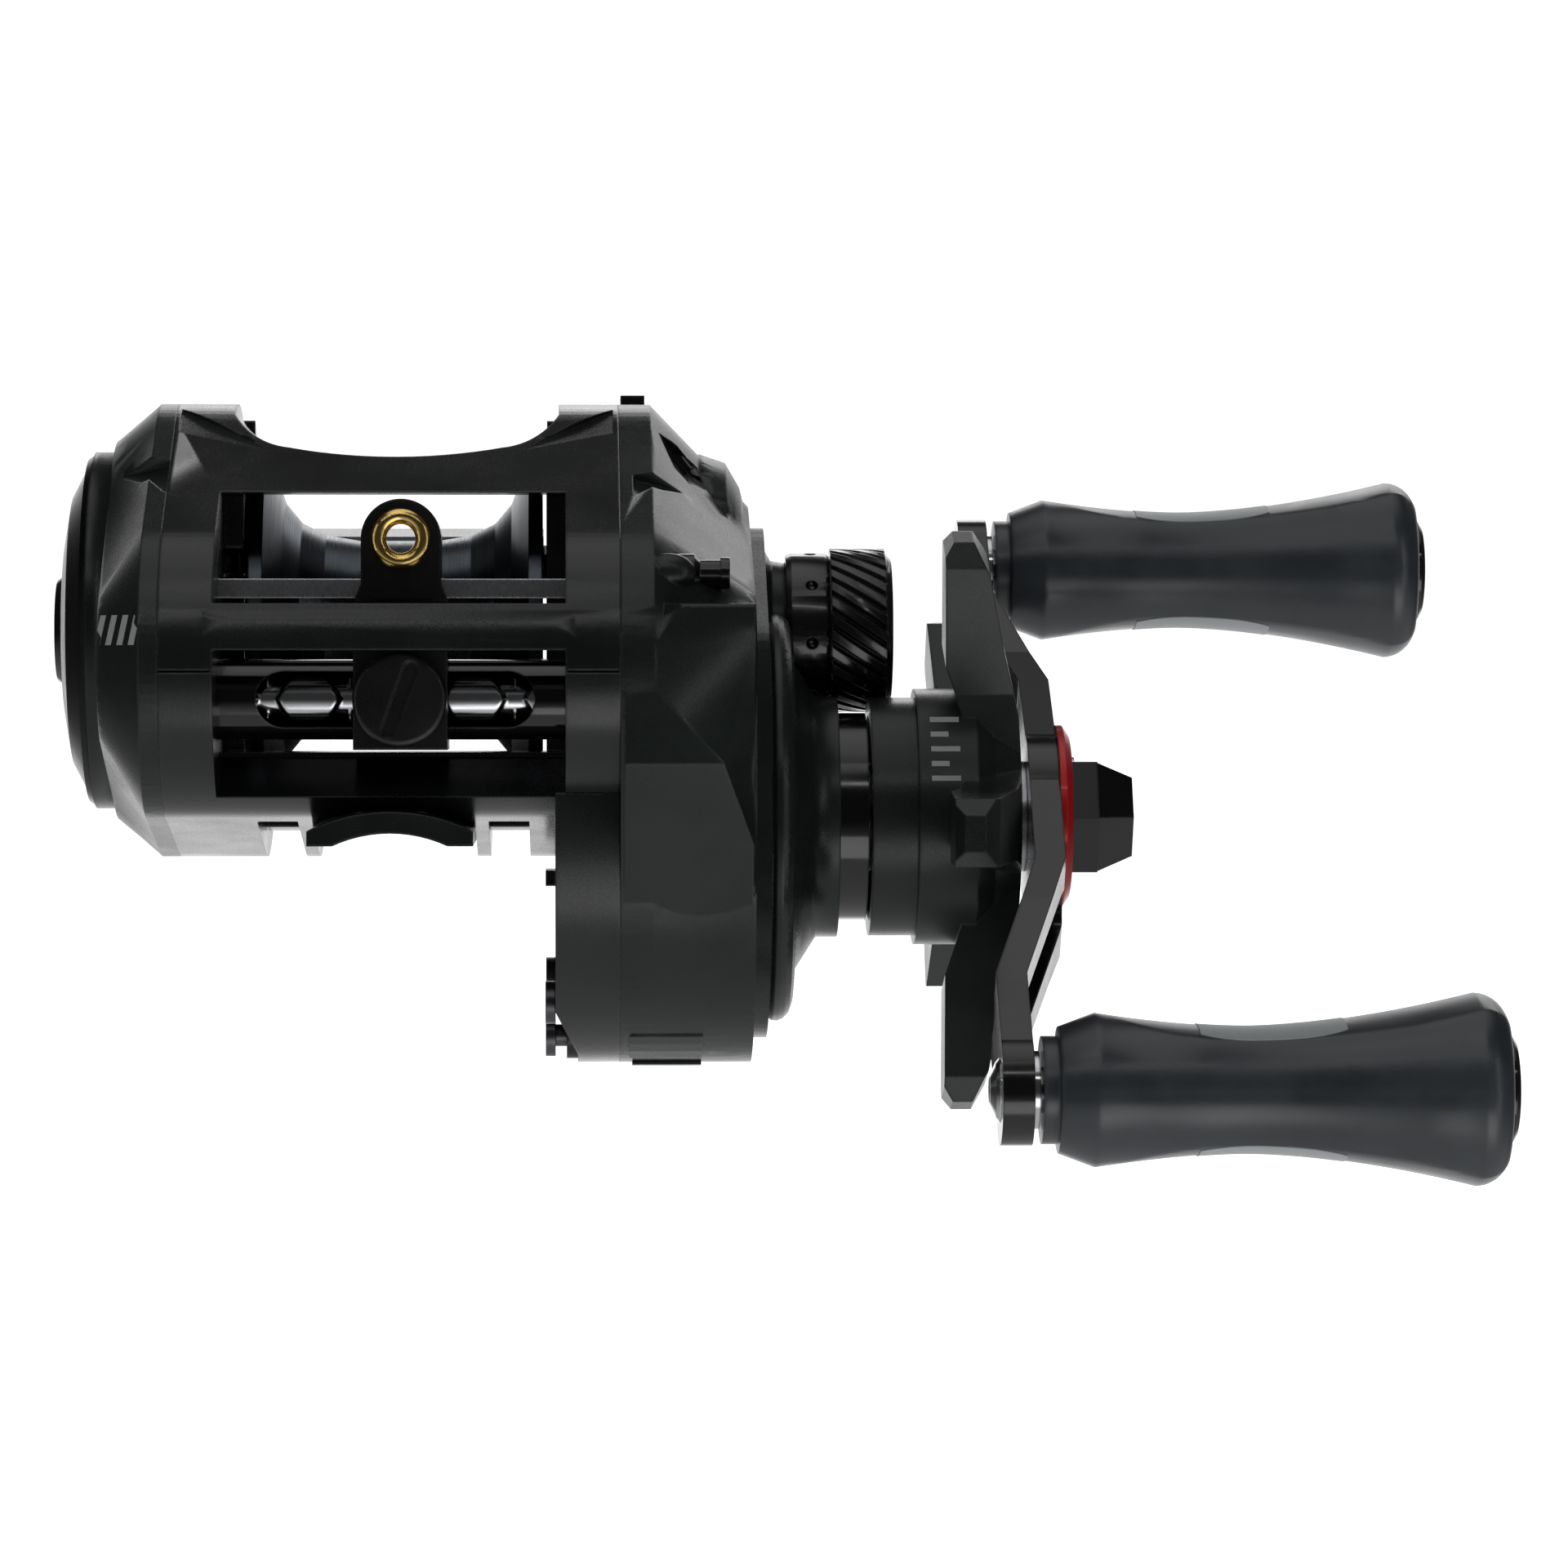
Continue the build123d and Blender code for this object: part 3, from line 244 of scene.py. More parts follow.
def grip_rubber(name, dark, light, wear_and_highlight):
    """Satin soft-touch moulding, faintly milky, with a mottled bloom and edges lighter as wear and as a painted
    highlight.
    """
    t = Tree(name)
    at = t.position()
    normal, edge = t.edges(radius=0.5 * MM)
    bloom = t.noise(at, scale=120.0, detail=4.0, rough=0.6)
    skin = t.noise(at, scale=7000.0, detail=2.0, rough=0.6)
    base = t.blend(t.remap(bloom, 0.35, 0.7, 0.0, 1.0), dark, light)
    # Edge colour: partly wear, partly a painted highlight along the edges.
    t.set(Base_Color=t.blend(t.math("MULTIPLY", edge, 0.3), base, wear_and_highlight),
          Roughness=t.remap(bloom, 0.3, 0.7, 0.27, 0.38), Specular_IOR_Level=0.7,
          Normal=t.bump(skin, 0.22, normal=normal))
    return t.material


def carbon_weave(name, dark, light):
    """Woven carbon for the drag washer."""
    t = Tree(name)
    warp = t.add("ShaderNodeTexWave", bands_direction="Y")
    weft = t.add("ShaderNodeTexWave", bands_direction="Z")
    for wave in (warp, weft):
        wave.inputs["Scale"].default_value = 420.0
        wave.inputs["Distortion"].default_value = 0.4
        t.join(t.position(), wave.inputs["Vector"])
    over = t.math("GREATER_THAN", warp.outputs["Fac"], weft.outputs["Fac"])
    height = t.math("MAXIMUM", warp.outputs["Fac"], weft.outputs["Fac"])
    t.set(Base_Color=t.blend(over, dark, light), Roughness=t.remap(height, 0.0, 1.0, 0.6, 0.3),
          Normal=t.bump(height, 0.6, 0.05 * MM))
    return t.material


def pale(name, colour, rough):
    """Flecked pale plastic or print."""
    t = Tree(name)
    fleck = t.noise(t.position(), scale=1800.0, detail=3.0, rough=0.6)
    darker = tuple(0.8 * c for c in colour)
    t.set(Base_Color=t.blend(fleck, darker, colour),
          Roughness=t.remap(fleck, 0.3, 0.7, rough, rough + 0.12), Normal=t.bump(fleck, 0.2))
    return t.material


# How each slot looks, and four looks of scene.py's own at the end.
LOOKS = {
    "frame_graphite": (moulded, dict(dark=(0.0072, 0.0084, 0.0084), light=(0.012, 0.014, 0.014),
                                     rough=0.24)),
    "cover_graphite": (moulded, dict(dark=(0.0105, 0.0128, 0.0128), light=(0.017, 0.021, 0.021),
                                     rough=0.30, specular=0.38)),
    "guide_plastic": (moulded, dict(dark=(0.004, 0.004, 0.004), light=(0.007, 0.007, 0.007),
                                    rough=0.30, grain=0.2)),
    # The knob's third colour is its edge colour: partly wear, partly a painted highlight.
    "knob_rubber": (grip_rubber, dict(dark=(0.024, 0.030, 0.037), light=(0.040, 0.048, 0.057),
                                      wear_and_highlight=(0.07, 0.078, 0.088))),
    "carbon_washer": (carbon_weave, dict(dark=(0.010, 0.010, 0.011), light=(0.030, 0.030, 0.032))),
    "gloss_black": (polished, dict(colour=(0.003, 0.003, 0.0033), rough=0.07, coat=0.3)),
    "black_alloy": (polished, dict(colour=(0.004, 0.004, 0.0045), rough=0.14, coat=0.3)),
    "red_alloy": (polished, dict(colour=(0.62, 0.006, 0.010), rough=0.28, metallic=0.25, coat=0.2)),
    "gold_ring": (polished, dict(colour=(0.83, 0.58, 0.20), rough=0.10, metallic=1.0)),
    "chrome_steel": (polished, dict(colour=(0.62, 0.63, 0.65), rough=0.08, metallic=1.0)),
    "spool_alloy": (turned, dict(colour=(0.070, 0.082, 0.095), rough=0.30, axis=SPOOL_AXIS)),
    "steel": (turned, dict(colour=(0.50, 0.51, 0.53), rough=0.30, axis=SPOOL_AXIS)),
    "brass_gear": (turned, dict(colour=(0.66, 0.45, 0.17), rough=0.28, axis=DRIVE_AXIS)),
    "blued_steel": (turned, dict(colour=(0.10, 0.10, 0.11), rough=0.32, axis=DRIVE_AXIS)),
    "palm_gloss": (polished, dict(colour=(0.003, 0.003, 0.0033), rough=0.22, specular=0.2)),
    "knob_inlay": (pale, dict(colour=(0.46, 0.50, 0.51), rough=0.42)),
    "pad_print": (pale, dict(colour=(0.50, 0.51, 0.51), rough=0.55)),
}
MATERIALS = {name: make(name, **look) for name, (make, look) in LOOKS.items()}

# Nodes that look unlike the rest of their slot.
SPECIAL = {"palm_insert": "palm_gloss", "palm_trim_ring": "palm_gloss", "case_screws": "blued_steel"}


def dress_nodes():
    """Give each node its own or its slot's material."""
    for part in frame["record"]["subparts"]:
        node = NODES[part["node"]]
        node.data.materials.clear()
        node.data.materials.append(MATERIALS[SPECIAL.get(part["node"], part["material_slot"])])


# ---- mesh helpers ----
CREASE = 13           # degrees; flatter joints than this are shaded smooth on the shells
FINE_CREASE = 40      # the same, on the worm and the inlays
WELD = 0.0005 * MM
RAY_START = 50 * MM   # in front of the model
FACET_CLEAR = 1.2     # how far a facet's cutter stands out of the shell, mm


def link(name, mesh):
    piece = bpy.data.objects.new(name, mesh)
    bpy.context.scene.collection.objects.link(piece)
    return piece


def add_piece(name, mesh, body, slot, *replaced):
    """A finished piece that rides on a body, wears a slot's material and may stand for nodes."""
    piece = link(name, mesh)
    if not mesh.materials:
        mesh.materials.append(MATERIALS[slot])
    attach(piece, body)
    if replaced:
        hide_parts(*replaced)
    return piece


def smooth(mesh, angle):
    mesh.shade_smooth()
    mesh.set_sharp_from_angle(angle=math.radians(angle))


def mesh_from(name, bm):
    """Turn a bmesh into a mesh and free it."""
    mesh = bpy.data.meshes.new(name)
    bm.to_mesh(mesh)
    bm.free()
    return mesh


def circle(x, axis, radius, count, shift=0.0):
    """Points round an X-parallel axis, the first one shifted by a share of a step."""
    points = []
    for k in range(count):
        angle = 2 * math.pi * (k + shift) / count
        points.append(Vector((x, axis.y + radius * math.cos(angle),
                              axis.z + radius * math.sin(angle))))
    return points


def hull_mesh(name, points):
    """The convex solid stretched round some points."""
    bm = bmesh.new()
    for point in points:
        bm.verts.new(point)
    result = bmesh.ops.convex_hull(bm, input=bm.verts)
    loose = [v for v in result["geom_interior"] + result["geom_unused"]
             if isinstance(v, bmesh.types.BMVert)]
    bmesh.ops.delete(bm, geom=list(set(loose)), context="VERTS")
    bmesh.ops.recalc_face_normals(bm, faces=bm.faces)
    return mesh_from(name, bm)


def tube_mesh(name, rings, close=False):
    """A skin over rings of equal length, capped at both ends unless it closes on itself."""
    count = len(rings[0])
    verts = [point for ring in rings for point in ring]
    faces = []
    spans = len(rings) if close else len(rings) - 1
    for n in range(spans):
        first, second = n * count, (n + 1) % len(rings) * count
        for k in range(count):
            after = (k + 1) % count
            faces.append((first + k, first + after, second + after, second + k))
    if not close:
        faces.append(tuple(reversed(range(count))))
        faces.append(tuple(range((len(rings) - 1) * count, len(rings) * count)))
    mesh = bpy.data.meshes.new(name)
    mesh.from_pydata(verts, [], faces)
    bm = bmesh.new()
    bm.from_mesh(mesh)
    bmesh.ops.recalc_face_normals(bm, faces=bm.faces)
    bm.to_mesh(mesh)
    bm.free()
    return mesh


def wire_mesh(name, path, radius, sides=10):
    """Round wire along a path that winds about the X axis."""
    rings = []
    for n, point in enumerate(path):
        ahead = path[min(n + 1, len(path) - 1)] - path[max(n - 1, 0)]
        side = ahead.cross(Vector((1, 0, 0))).normalized()
        up = side.cross(ahead).normalized()
        ring = []
        for k in range(sides):
            angle = 2 * math.pi * k / sides
            ring.append(point + radius * (math.cos(angle) * side + math.sin(angle) * up))
        rings.append(ring)
    return tube_mesh(name, rings)


def lathe_mesh(name, profile, axis, sides=160):
    """A closed ring turned about an X-parallel axis from points (x, radius) in metres."""
    rings = []
    for n in range(sides):
        angle = 2 * math.pi * n / sides
        out = Vector((0, math.cos(angle), math.sin(angle)))
        rings.append([Vector((x, axis.y, axis.z)) + radius * out for x, radius in profile])
    return tube_mesh(name, rings, close=True)


def copy_of(node):
    """A welded copy of a node's mesh, ready for cutting."""
    mesh = NODES[node].data.copy()
    bm = bmesh.new()
    bm.from_mesh(mesh)
    bmesh.ops.remove_doubles(bm, verts=bm.verts, dist=WELD)
    bmesh.ops.dissolve_degenerate(bm, edges=bm.edges, dist=WELD)
    bm.to_mesh(mesh)
    bm.free()
    return link(node + "_work", mesh)


def combine(work, tool_mesh, operation, slot=None):
    """Cut a solid from a working object, or join one to it; slot dresses the new faces."""
    tool = link("tool", tool_mesh)
    tool_mesh.materials.append(MATERIALS[slot] if slot else work.data.materials[0])
    modifier = work.modifiers.new("combine", "BOOLEAN")
    modifier.object = tool
    modifier.operation = operation
    modifier.solver = "EXACT"
    modifier.material_mode = "TRANSFER"
    bpy.context.view_layer.update()
    evaluated = work.evaluated_get(bpy.context.evaluated_depsgraph_get())
    mesh = bpy.data.meshes.new_from_object(evaluated)
    work.modifiers.clear()
    work.data = mesh
    bpy.data.objects.remove(tool)


def take_mesh(work):
    """A working object's mesh; the object itself goes."""
    mesh = work.data
    bpy.data.objects.remove(work)
    return mesh


def finish_copy(work, name, body, slot, node):
    mesh = take_mesh(work)
    smooth(mesh, CREASE)
    return add_piece(name, mesh, body, slot, node)


# ---- features on a shell ----
def on_surface(work, x, z):
    """Where a shell is first met from the front at x, z, and its normal there."""
    start = Vector((x * MM, CAD_BOX[0][1] - RAY_START, z * MM))
    hit, place, normal, _ = work.ray_cast(start, Vector((0, 1, 0)))
    if not hit:
        raise ValueError(f"{work.name} isn't met at x {x}, z {z}")
    return place, normal


def facet(work, corners, slot=None):
    """Cut a flat facet whose corners (x, z, depth), in millimetres, lie that deep in the shell."""
    points = []
    for x, z, depth in corners:
        place, normal = on_surface(work, x, z)
        points.append(place - normal * depth * MM)
        points.append(place + normal * FACET_CLEAR * MM)
    combine(work, hull_mesh("facet", points), "DIFFERENCE", slot)


def mirrored(corners):
    return [(-x, z, depth) for x, z, depth in corners]


def swell(work, x, z, size, sink):
    """Raise a smooth pad of a given size (x, out, z) on a shell, its middle sunk below the skin."""
    place, normal = on_surface(work, x, z)
    bm = bmesh.new()
    bmesh.ops.create_uvsphere(bm, u_segments=48, v_segments=24, radius=1.0)
    bmesh.ops.scale(bm, vec=Vector(size) * MM, verts=bm.verts)
    bmesh.ops.translate(bm, vec=place - normal * sink * MM, verts=bm.verts)
    combine(work, mesh_from("pad", bm), "UNION")


def raised_plate(work, low, high, proud, root=0.5, rows=3):
    """A thin plate that stands proud of a shell between two corners (x, z), in rows up it."""
    points = []
    for x in (low[0], high[0]):
        for row in range(rows + 1):
            z = low[1] + (high[1] - low[1]) * row / rows
            place, normal = on_surface(work, x, z)
            points += [place + normal * proud * MM, place - normal * root * MM]
    combine(work, hull_mesh("plate", points), "UNION")


# ---- body shells ----
PALM_SEAM_INSET = 0.02                              # keeps rays off the shell's open rim
EYE_SLOT = "gloss_black"
FAIRING = (2.4, 1.5, 1.7)                           # half sizes of the pad under the hook post
FAIRING_SINK = 0.5
FAIRING_SHIFT = (-0.2, 0.3)                         # from the post's inner end and middle
PLATE_LOW = (0.9, -19.4)                            # service plate's corners: x from the seam, z
PLATE_HIGH = (7.4, -17.2)
PLATE_PROUD = 0.16
LIP = ((13.2, 17.0), (13.4, 18.1), (13.8, 18.45), (14.3, 18.5), (14.8, 18.3), (15.3, 17.8),
       (15.6, 17.0), (14.6, 16.0), (13.6, 16.0))    # x from the seam, radius
CAP_ROOM = 0.5                                      # gap round the cast control cap
CAP_REACH = 5.0                                     # how far the gap runs inwards past the cap


def build_palm_cover():
    """The palm-side shell with a pointed scoop at its shoulder."""
    work = copy_of("palm_cover")
    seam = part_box("palm_cover")[1].x / MM - PALM_SEAM_INSET
    facet(work, [(seam - 4.6, 32.5, 0), (seam, 33.9, 0.5), (seam, 30.8, 0.0)])
    return finish_copy(work, "palm_shell", "body", "cover_graphite", "palm_cover")


def lip_ring(seam):
    """A rounded lip about the drive axis, open where the cast control cap turns."""
    profile = [((seam + x) * MM, radius * MM) for x, radius in LIP]
    ring = link("ring", lathe_mesh("lip", profile, DRIVE_AXIS))
    ring.data.materials.append(MATERIALS["cover_graphite"])
    low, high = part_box("cast_control_cap")
    room = (high.z - low.z) / 2 + CAP_ROOM * MM
    start = low.x - CAP_REACH * MM
    well = [(start, 0.0), (start, room), (high.x, room), (high.x, 0.0)]
    combine(ring, lathe_mesh("well", well, SPOOL_AXIS), "DIFFERENCE")
    return take_mesh(ring)


def build_gear_cover():
    """The gear-side shell: a scoop, a polished eye, a fairing, a service plate and a lip."""
    work = copy_of("gear_cover")
    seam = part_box("gear_cover")[0].x / MM
    scoop = [(seam + 5.7, 31.0, 0), (seam + 1.2, 32.6, 0.6), (seam + 3.4, 32.2, 0.3),
             (seam + 1.2, 30.6, 0)]
    eye = [(seam + 3.6, 36.7, 0), (seam + 5.3, 35.6, 0.9), (seam + 6.9, 33.6, 0.9),
           (seam + 8.3, 31.3, 0), (seam + 6.4, 31.9, 0.2), (seam + 5.0, 33.4, 0.2)]
    facet(work, scoop)
    facet(work, eye, EYE_SLOT)
    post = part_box("hook_post")[0].x / MM, middle("hook_post").z / MM
    swell(work, post[0] + FAIRING_SHIFT[0], post[1] + FAIRING_SHIFT[1], FAIRING, FAIRING_SINK)
    raised_plate(work, (seam + PLATE_LOW[0], PLATE_LOW[1]), (seam + PLATE_HIGH[0], PLATE_HIGH[1]),
                 PLATE_PROUD)
    combine(work, lip_ring(seam), "UNION")
    finish_copy(work, "gear_shell", "body", "cover_graphite", "gear_cover")


RIDGE_ROWS = ((16.6, 20.5, -0.1), (14.0, 19.3, 0.6), (16.6, 17.3, -0.1))    # half width, z, out
RIDGE_ROOT = 0.6
LEG_WIDTH = 4.5
GROOVE_DEPTH = 0.35
GROOVE_LIFT = (0.02, 0.2)                           # the open joint's edges above the leg's foot


def ridge_mesh(work):
    """A shallow roof along the hood's crossbar."""
    points = []
    for half, z, out in RIDGE_ROWS:
        for x in (-half, half):
            place, normal = on_surface(work, x, z)
            points += [place + normal * out * MM, place - normal * RIDGE_ROOT * MM]
    return hull_mesh("ridge", points)


def build_hood():
    """The hood with folded facets at its upper corners and open joints where its legs end."""
    work = copy_of("front_hood")
    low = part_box("front_hood")[0]
    left, foot = low.x / MM, low.z / MM
    fold = [(left + 0.4, 38.9, 0.15), (left + 0.4, 36.6, 0), (left + 8.6, 34.9, 0),
            (left + 6.8, 35.9, 0)]
    groove = [(left + x, foot + lift, GROOVE_DEPTH) for lift in GROOVE_LIFT
              for x in (0.05, LEG_WIDTH)]
    combine(work, ridge_mesh(work), "UNION")
    for corners in (fold, mirrored(fold), groove, mirrored(groove)):
        facet(work, corners)
    finish_copy(work, "hood_shell", "body", "frame_graphite", "front_hood")


KNURL_START = 5.6 * MM        # both measured inwards from the cap's outer end
KNURL_END = 0.6 * MM
KNURL_TWIST = math.radians(24)
KNURL_BANDS = 8


def build_cap():
    """The cast control cap, its knurl turned to a steeper slant."""
    work = copy_of("cast_control_cap")
    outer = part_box("cast_control_cap")[1].x
    start, end = outer - KNURL_START, outer - KNURL_END
    bm = bmesh.new()
    bm.from_mesh(work.data)
    for n in range(1, KNURL_BANDS):
        cut = Vector((start + (end - start) * n / KNURL_BANDS, 0, 0))
        bmesh.ops.bisect_plane(bm, geom=bm.verts[:] + bm.edges[:] + bm.faces[:], plane_co=cut,
                               plane_no=(1, 0, 0))
    for vert in bm.verts:
        share = min(1.0, max(0.0, (vert.co.x - start) / (end - start)))
        turn = Matrix.Rotation(KNURL_TWIST * share, 3, "X")
        vert.co = SPOOL_AXIS + turn @ (vert.co - SPOOL_AXIS)
    bm.to_mesh(work.data)
    bm.free()
    finish_copy(work, "knurled_cap", "tension_cap", "black_alloy", "cast_control_cap")


# ---- handle knobs; s runs from 0 at the inner end to 1 ----
COLLAR_END = 0.035
SHOULDER = 0.115
WAIST = 0.44
RIM = 0.935
STEP = 0.001               # half the length of a step in the outline
COLLAR_HEIGHT = 0.56       # heights as shares of the knob's greatest
SHOULDER_HEIGHT = 0.80
WAIST_HEIGHT = 0.655
END_HEIGHT = 0.70
FLARE = 1.7                # power of the curve from the waist outwards
CROWN = 0.33               # how far the flats fall away towards their edges
KNOB_STATIONS = 72
RIM_STATIONS = 12
KNOB_SIDES = 96
KNOB_BORE = 2.08 * MM
KNOB_RECESS = 3.65 * MM    # round the end cap
RECESS_DEPTH = 0.08        # share of the knob's length
WIDENING = 0.19            # how much wider than high the grip gets
WIDENS = (0.13, 0.36)
NARROWING = 0.35           # share of the widening that is lost again
NARROWS = (0.80, 0.95)
SEAM_SINK = 0.994          # the moulding seam's radius as a share of the grip's
SEAM_HALF = 0.04           # sine of the angle that it spans on either side
SEAM_RUN = (0.1, 0.95)
KNOB_CREASE = 17           # degrees, as CREASE
INLAY_FROM = 0.335
INLAY_SPAN = 0.315
INLAY_WIDTH = 0.72         # share of the grip's width
INLAY_ROUNDING = 0.16      # share of that width lost at its ends
INLAY_PROUD = 0.07 * MM
INLAY_ROOT = 0.30 * MM
INLAY_STEPS = 32
INLAY_ACROSS = 20


def ease(value, low, high):
    """0 below low, 1 above high, smooth between."""
    share = min(1.0, max(0.0, (value - low) / (high - low)))
    return share * share * (3 - 2 * share)


def knob_height(s, full):
    """Half height of the grip seen from its side."""
    rise = SHOULDER_HEIGHT - WAIST_HEIGHT
    if s < COLLAR_END:
        return COLLAR_HEIGHT * full
    if s < SHOULDER:
        return full * (WAIST_HEIGHT + rise * (s - COLLAR_END) / (SHOULDER - COLLAR_END))
    if s < WAIST:
        return full * (WAIST_HEIGHT + rise * ((WAIST - s) / (WAIST - SHOULDER)) ** FLARE)
    if s < RIM:
        flare = ((s - WAIST) / (RIM - WAIST)) ** FLARE
        return full * (WAIST_HEIGHT + (1 - WAIST_HEIGHT) * flare)
    share = (s - RIM) / (1 - RIM)
    return full * (END_HEIGHT + (1 - END_HEIGHT) * math.sqrt(max(0.0, 1 - share * share)))


def knob_width(s, height):
    """Half width of the grip seen from above: wider than high past the shoulder."""
    return height * (1 + WIDENING * ease(s, *WIDENS) * (1 - NARROWING * ease(s, *NARROWS)))


def knob_section(s, full):
    """Round sides and crowned flats above and below, which open out from the inner shoulder."""
    height = knob_height(s, full)
    wide = knob_width(s, height)
    points = []
    for k in range(KNOB_SIDES):
        angle = 2 * math.pi * (k + 0.5) / KNOB_SIDES
        y, z = math.cos(angle) * wide, math.sin(angle) * wide
        crown = height * (1 - CROWN * (y / wide) ** 2)
        on_seam = abs(math.sin(angle)) < SEAM_HALF and SEAM_RUN[0] < s < SEAM_RUN[1]
        points.append((y * (SEAM_SINK if on_seam else 1.0), max(-crown, min(crown, z))))
    return points


def knob_stations():
    stations = [0.0, COLLAR_END - STEP, COLLAR_END + STEP, SHOULDER - STEP, SHOULDER + STEP]
    span = RIM - SHOULDER
    stations += [SHOULDER + span * n / KNOB_STATIONS for n in range(1, KNOB_STATIONS)]
    for n in range(RIM_STATIONS + 1):
        stations.append(RIM + (1 - RIM) * math.sin(math.pi / 2 * n / RIM_STATIONS))
    return stations


def build_knob(name, body):
    """A hollow grip, with an inlay let into each of its flats."""
    low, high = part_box(name)
    axis = (low + high) / 2
    full = (high.z - low.z) / 2
    length = high.x - low.x
    rings = []
    for s in knob_stations():
        x = low.x + s * length
        rings.append([Vector((x, axis.y + y, axis.z + z)) for y, z in knob_section(s, full)])
    floor = high.x - RECESS_DEPTH * length
    for x, radius in ((high.x, KNOB_RECESS), (floor, KNOB_RECESS), (floor, KNOB_BORE),
                      (low.x, KNOB_BORE)):
        rings.append(circle(x, axis, radius, KNOB_SIDES, shift=0.5))
    mesh = tube_mesh(name + "_grip", rings, close=True)
    smooth(mesh, KNOB_CREASE)
    add_piece(name + "_grip", mesh, body, "knob_rubber", name)
    for sign, side in ((1, "top"), (-1, "underside")):
        build_inlay(f"{name}_inlay_{side}", body, low.x, length, axis, full, sign)


def build_inlay(name, body, start, length, axis, full, sign):
    """A pale strip let into a knob's flat and turned down over its edges."""
    rings = []
    for n in range(INLAY_STEPS + 1):
        share = n / INLAY_STEPS
        s = INLAY_FROM + INLAY_SPAN * share
        height = knob_height(s, full)
        wide = knob_width(s, height)
        half = INLAY_WIDTH * wide * (1 - INLAY_ROUNDING * abs(2 * share - 1) ** 4)
        x = start + s * length
        upper, lower = [], []
        for k in range(INLAY_ACROSS + 1):
            y = half * (2 * k / INLAY_ACROSS - 1)
            skin = min(height * (1 - CROWN * (y / wide) ** 2), math.sqrt(wide * wide - y * y))
            upper.append(Vector((x, axis.y + y, axis.z + sign * (skin + INLAY_PROUD))))
            lower.append(Vector((x, axis.y + y, axis.z + sign * (skin - INLAY_ROOT))))
        rings.append(upper + lower[::-1])
    mesh = tube_mesh(name, rings)
    smooth(mesh, FINE_CREASE)
    mesh.materials.append(MATERIALS["knob_inlay"])
    add_piece(name, mesh, body, "knob_rubber")


# ---- level wind ----
WORM_LEAD = 7.2 * MM
WORM_CUT = 0.55 * MM
CUT_SHARE = 0.15          # half a groove's width as a share of the lead
RUN_OUT = 1.4 * MM        # where the two helices run into each other
CUT_START = 0.3 * MM      # how far in from the thread's ends the grooves begin
WORM_JOURNAL = 1.2 * MM
JOURNAL_TIP = 0.8         # the chamfered end's share of the journal's radius
TIP_LENGTH = 0.3 * MM
LEFT_JOURNAL = 3.6 * MM
RIGHT_JOURNAL = 9.8 * MM
WORM_STEPS = 300
WORM_SIDES = 72


def worm_radius(x, angle, start, end, radius):
    """The worm's radius where two opposite helices cross between start and end."""
    inside = min(max(x, start + RUN_OUT), end - RUN_OUT)
    cut = 0.0
    for hand in (-1, 1):
        phase = (inside / WORM_LEAD + hand * angle / (2 * math.pi)) % 1.0
        away = min(phase, 1 - phase) / CUT_SHARE
        cut = max(cut, 1 - ease(away, 0.55, 1.0))
    return radius - WORM_CUT * cut * ease(min(x - start, end - x), CUT_START, RUN_OUT)


def worm_ring(x, start, end, radius):
    """One section of the worm's thread."""
    ring = []
    for k in range(WORM_SIDES):
        angle = 2 * math.pi * k / WORM_SIDES
        reach = worm_radius(x, angle, start, end, radius)
        ring.append(Vector((x, WORM_AXIS.y + reach * math.cos(angle),
                            WORM_AXIS.z + reach * math.sin(angle))))
    return ring


def build_worm():
    """The worm with its two crossing helical grooves between plain journals."""
    low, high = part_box("worm_shaft")
    thread = (high.z - low.z) / 2
    start, end = low.x + LEFT_JOURNAL, high.x - RIGHT_JOURNAL
    left = ((low.x, JOURNAL_TIP * WORM_JOURNAL), (low.x + TIP_LENGTH, WORM_JOURNAL),
            (start, WORM_JOURNAL))
    right = ((end, WORM_JOURNAL), (high.x - TIP_LENGTH, WORM_JOURNAL),
             (high.x, JOURNAL_TIP * WORM_JOURNAL))
    rings = [circle(x, WORM_AXIS, radius, WORM_SIDES) for x, radius in left]
    for n in range(WORM_STEPS + 1):
        rings.append(worm_ring(start + (end - start) * n / WORM_STEPS, start, end, thread))
    rings += [circle(x, WORM_AXIS, radius, WORM_SIDES) for x, radius in right]
    mesh = tube_mesh("worm_screw", rings)
    smooth(mesh, FINE_CREASE)
    add_piece("worm_screw", mesh, "worm", "chrome_steel", "worm_shaft")


# ---- clutch springs ----
SPRING_WIRE = 0.28 * MM
SPRING_COILS = 6
WIRE_CREASE = 50
STEPS_PER_COIL = 24
CLOSED_ENDS = 0.12        # share of the length over which the coils close up


def coil_path(low, high, y, radius):
    """A helix about an X-parallel axis at y, its coils closer together at both ends."""
    steps = SPRING_COILS * STEPS_PER_COIL
    length = high.x - low.x - 2 * SPRING_WIRE
    path = []
    for n in range(steps + 1):
        angle = 2 * math.pi * n / STEPS_PER_COIL
        x = low.x + SPRING_WIRE + length * ease(n / steps, -CLOSED_ENDS, 1 + CLOSED_ENDS)
        path.append(Vector((x, y + radius * math.cos(angle),
                            (low.z + high.z) / 2 + radius * math.sin(angle))))
    return path


def build_yoke_springs():
    """Two wound compression springs on the yoke's posts, as one piece."""
    low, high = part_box("yoke_springs")
    outside = (high.z - low.z) / 2
    bm = bmesh.new()
    for y in (low.y + outside, high.y - outside):
        path = coil_path(low, high, y, outside - SPRING_WIRE)
        bm.from_mesh(wire_mesh("coil", path, SPRING_WIRE))
    mesh = mesh_from("wound_springs", bm)
    smooth(mesh, WIRE_CREASE)
    add_piece("wound_springs", mesh, "body", "steel", "yoke_springs")


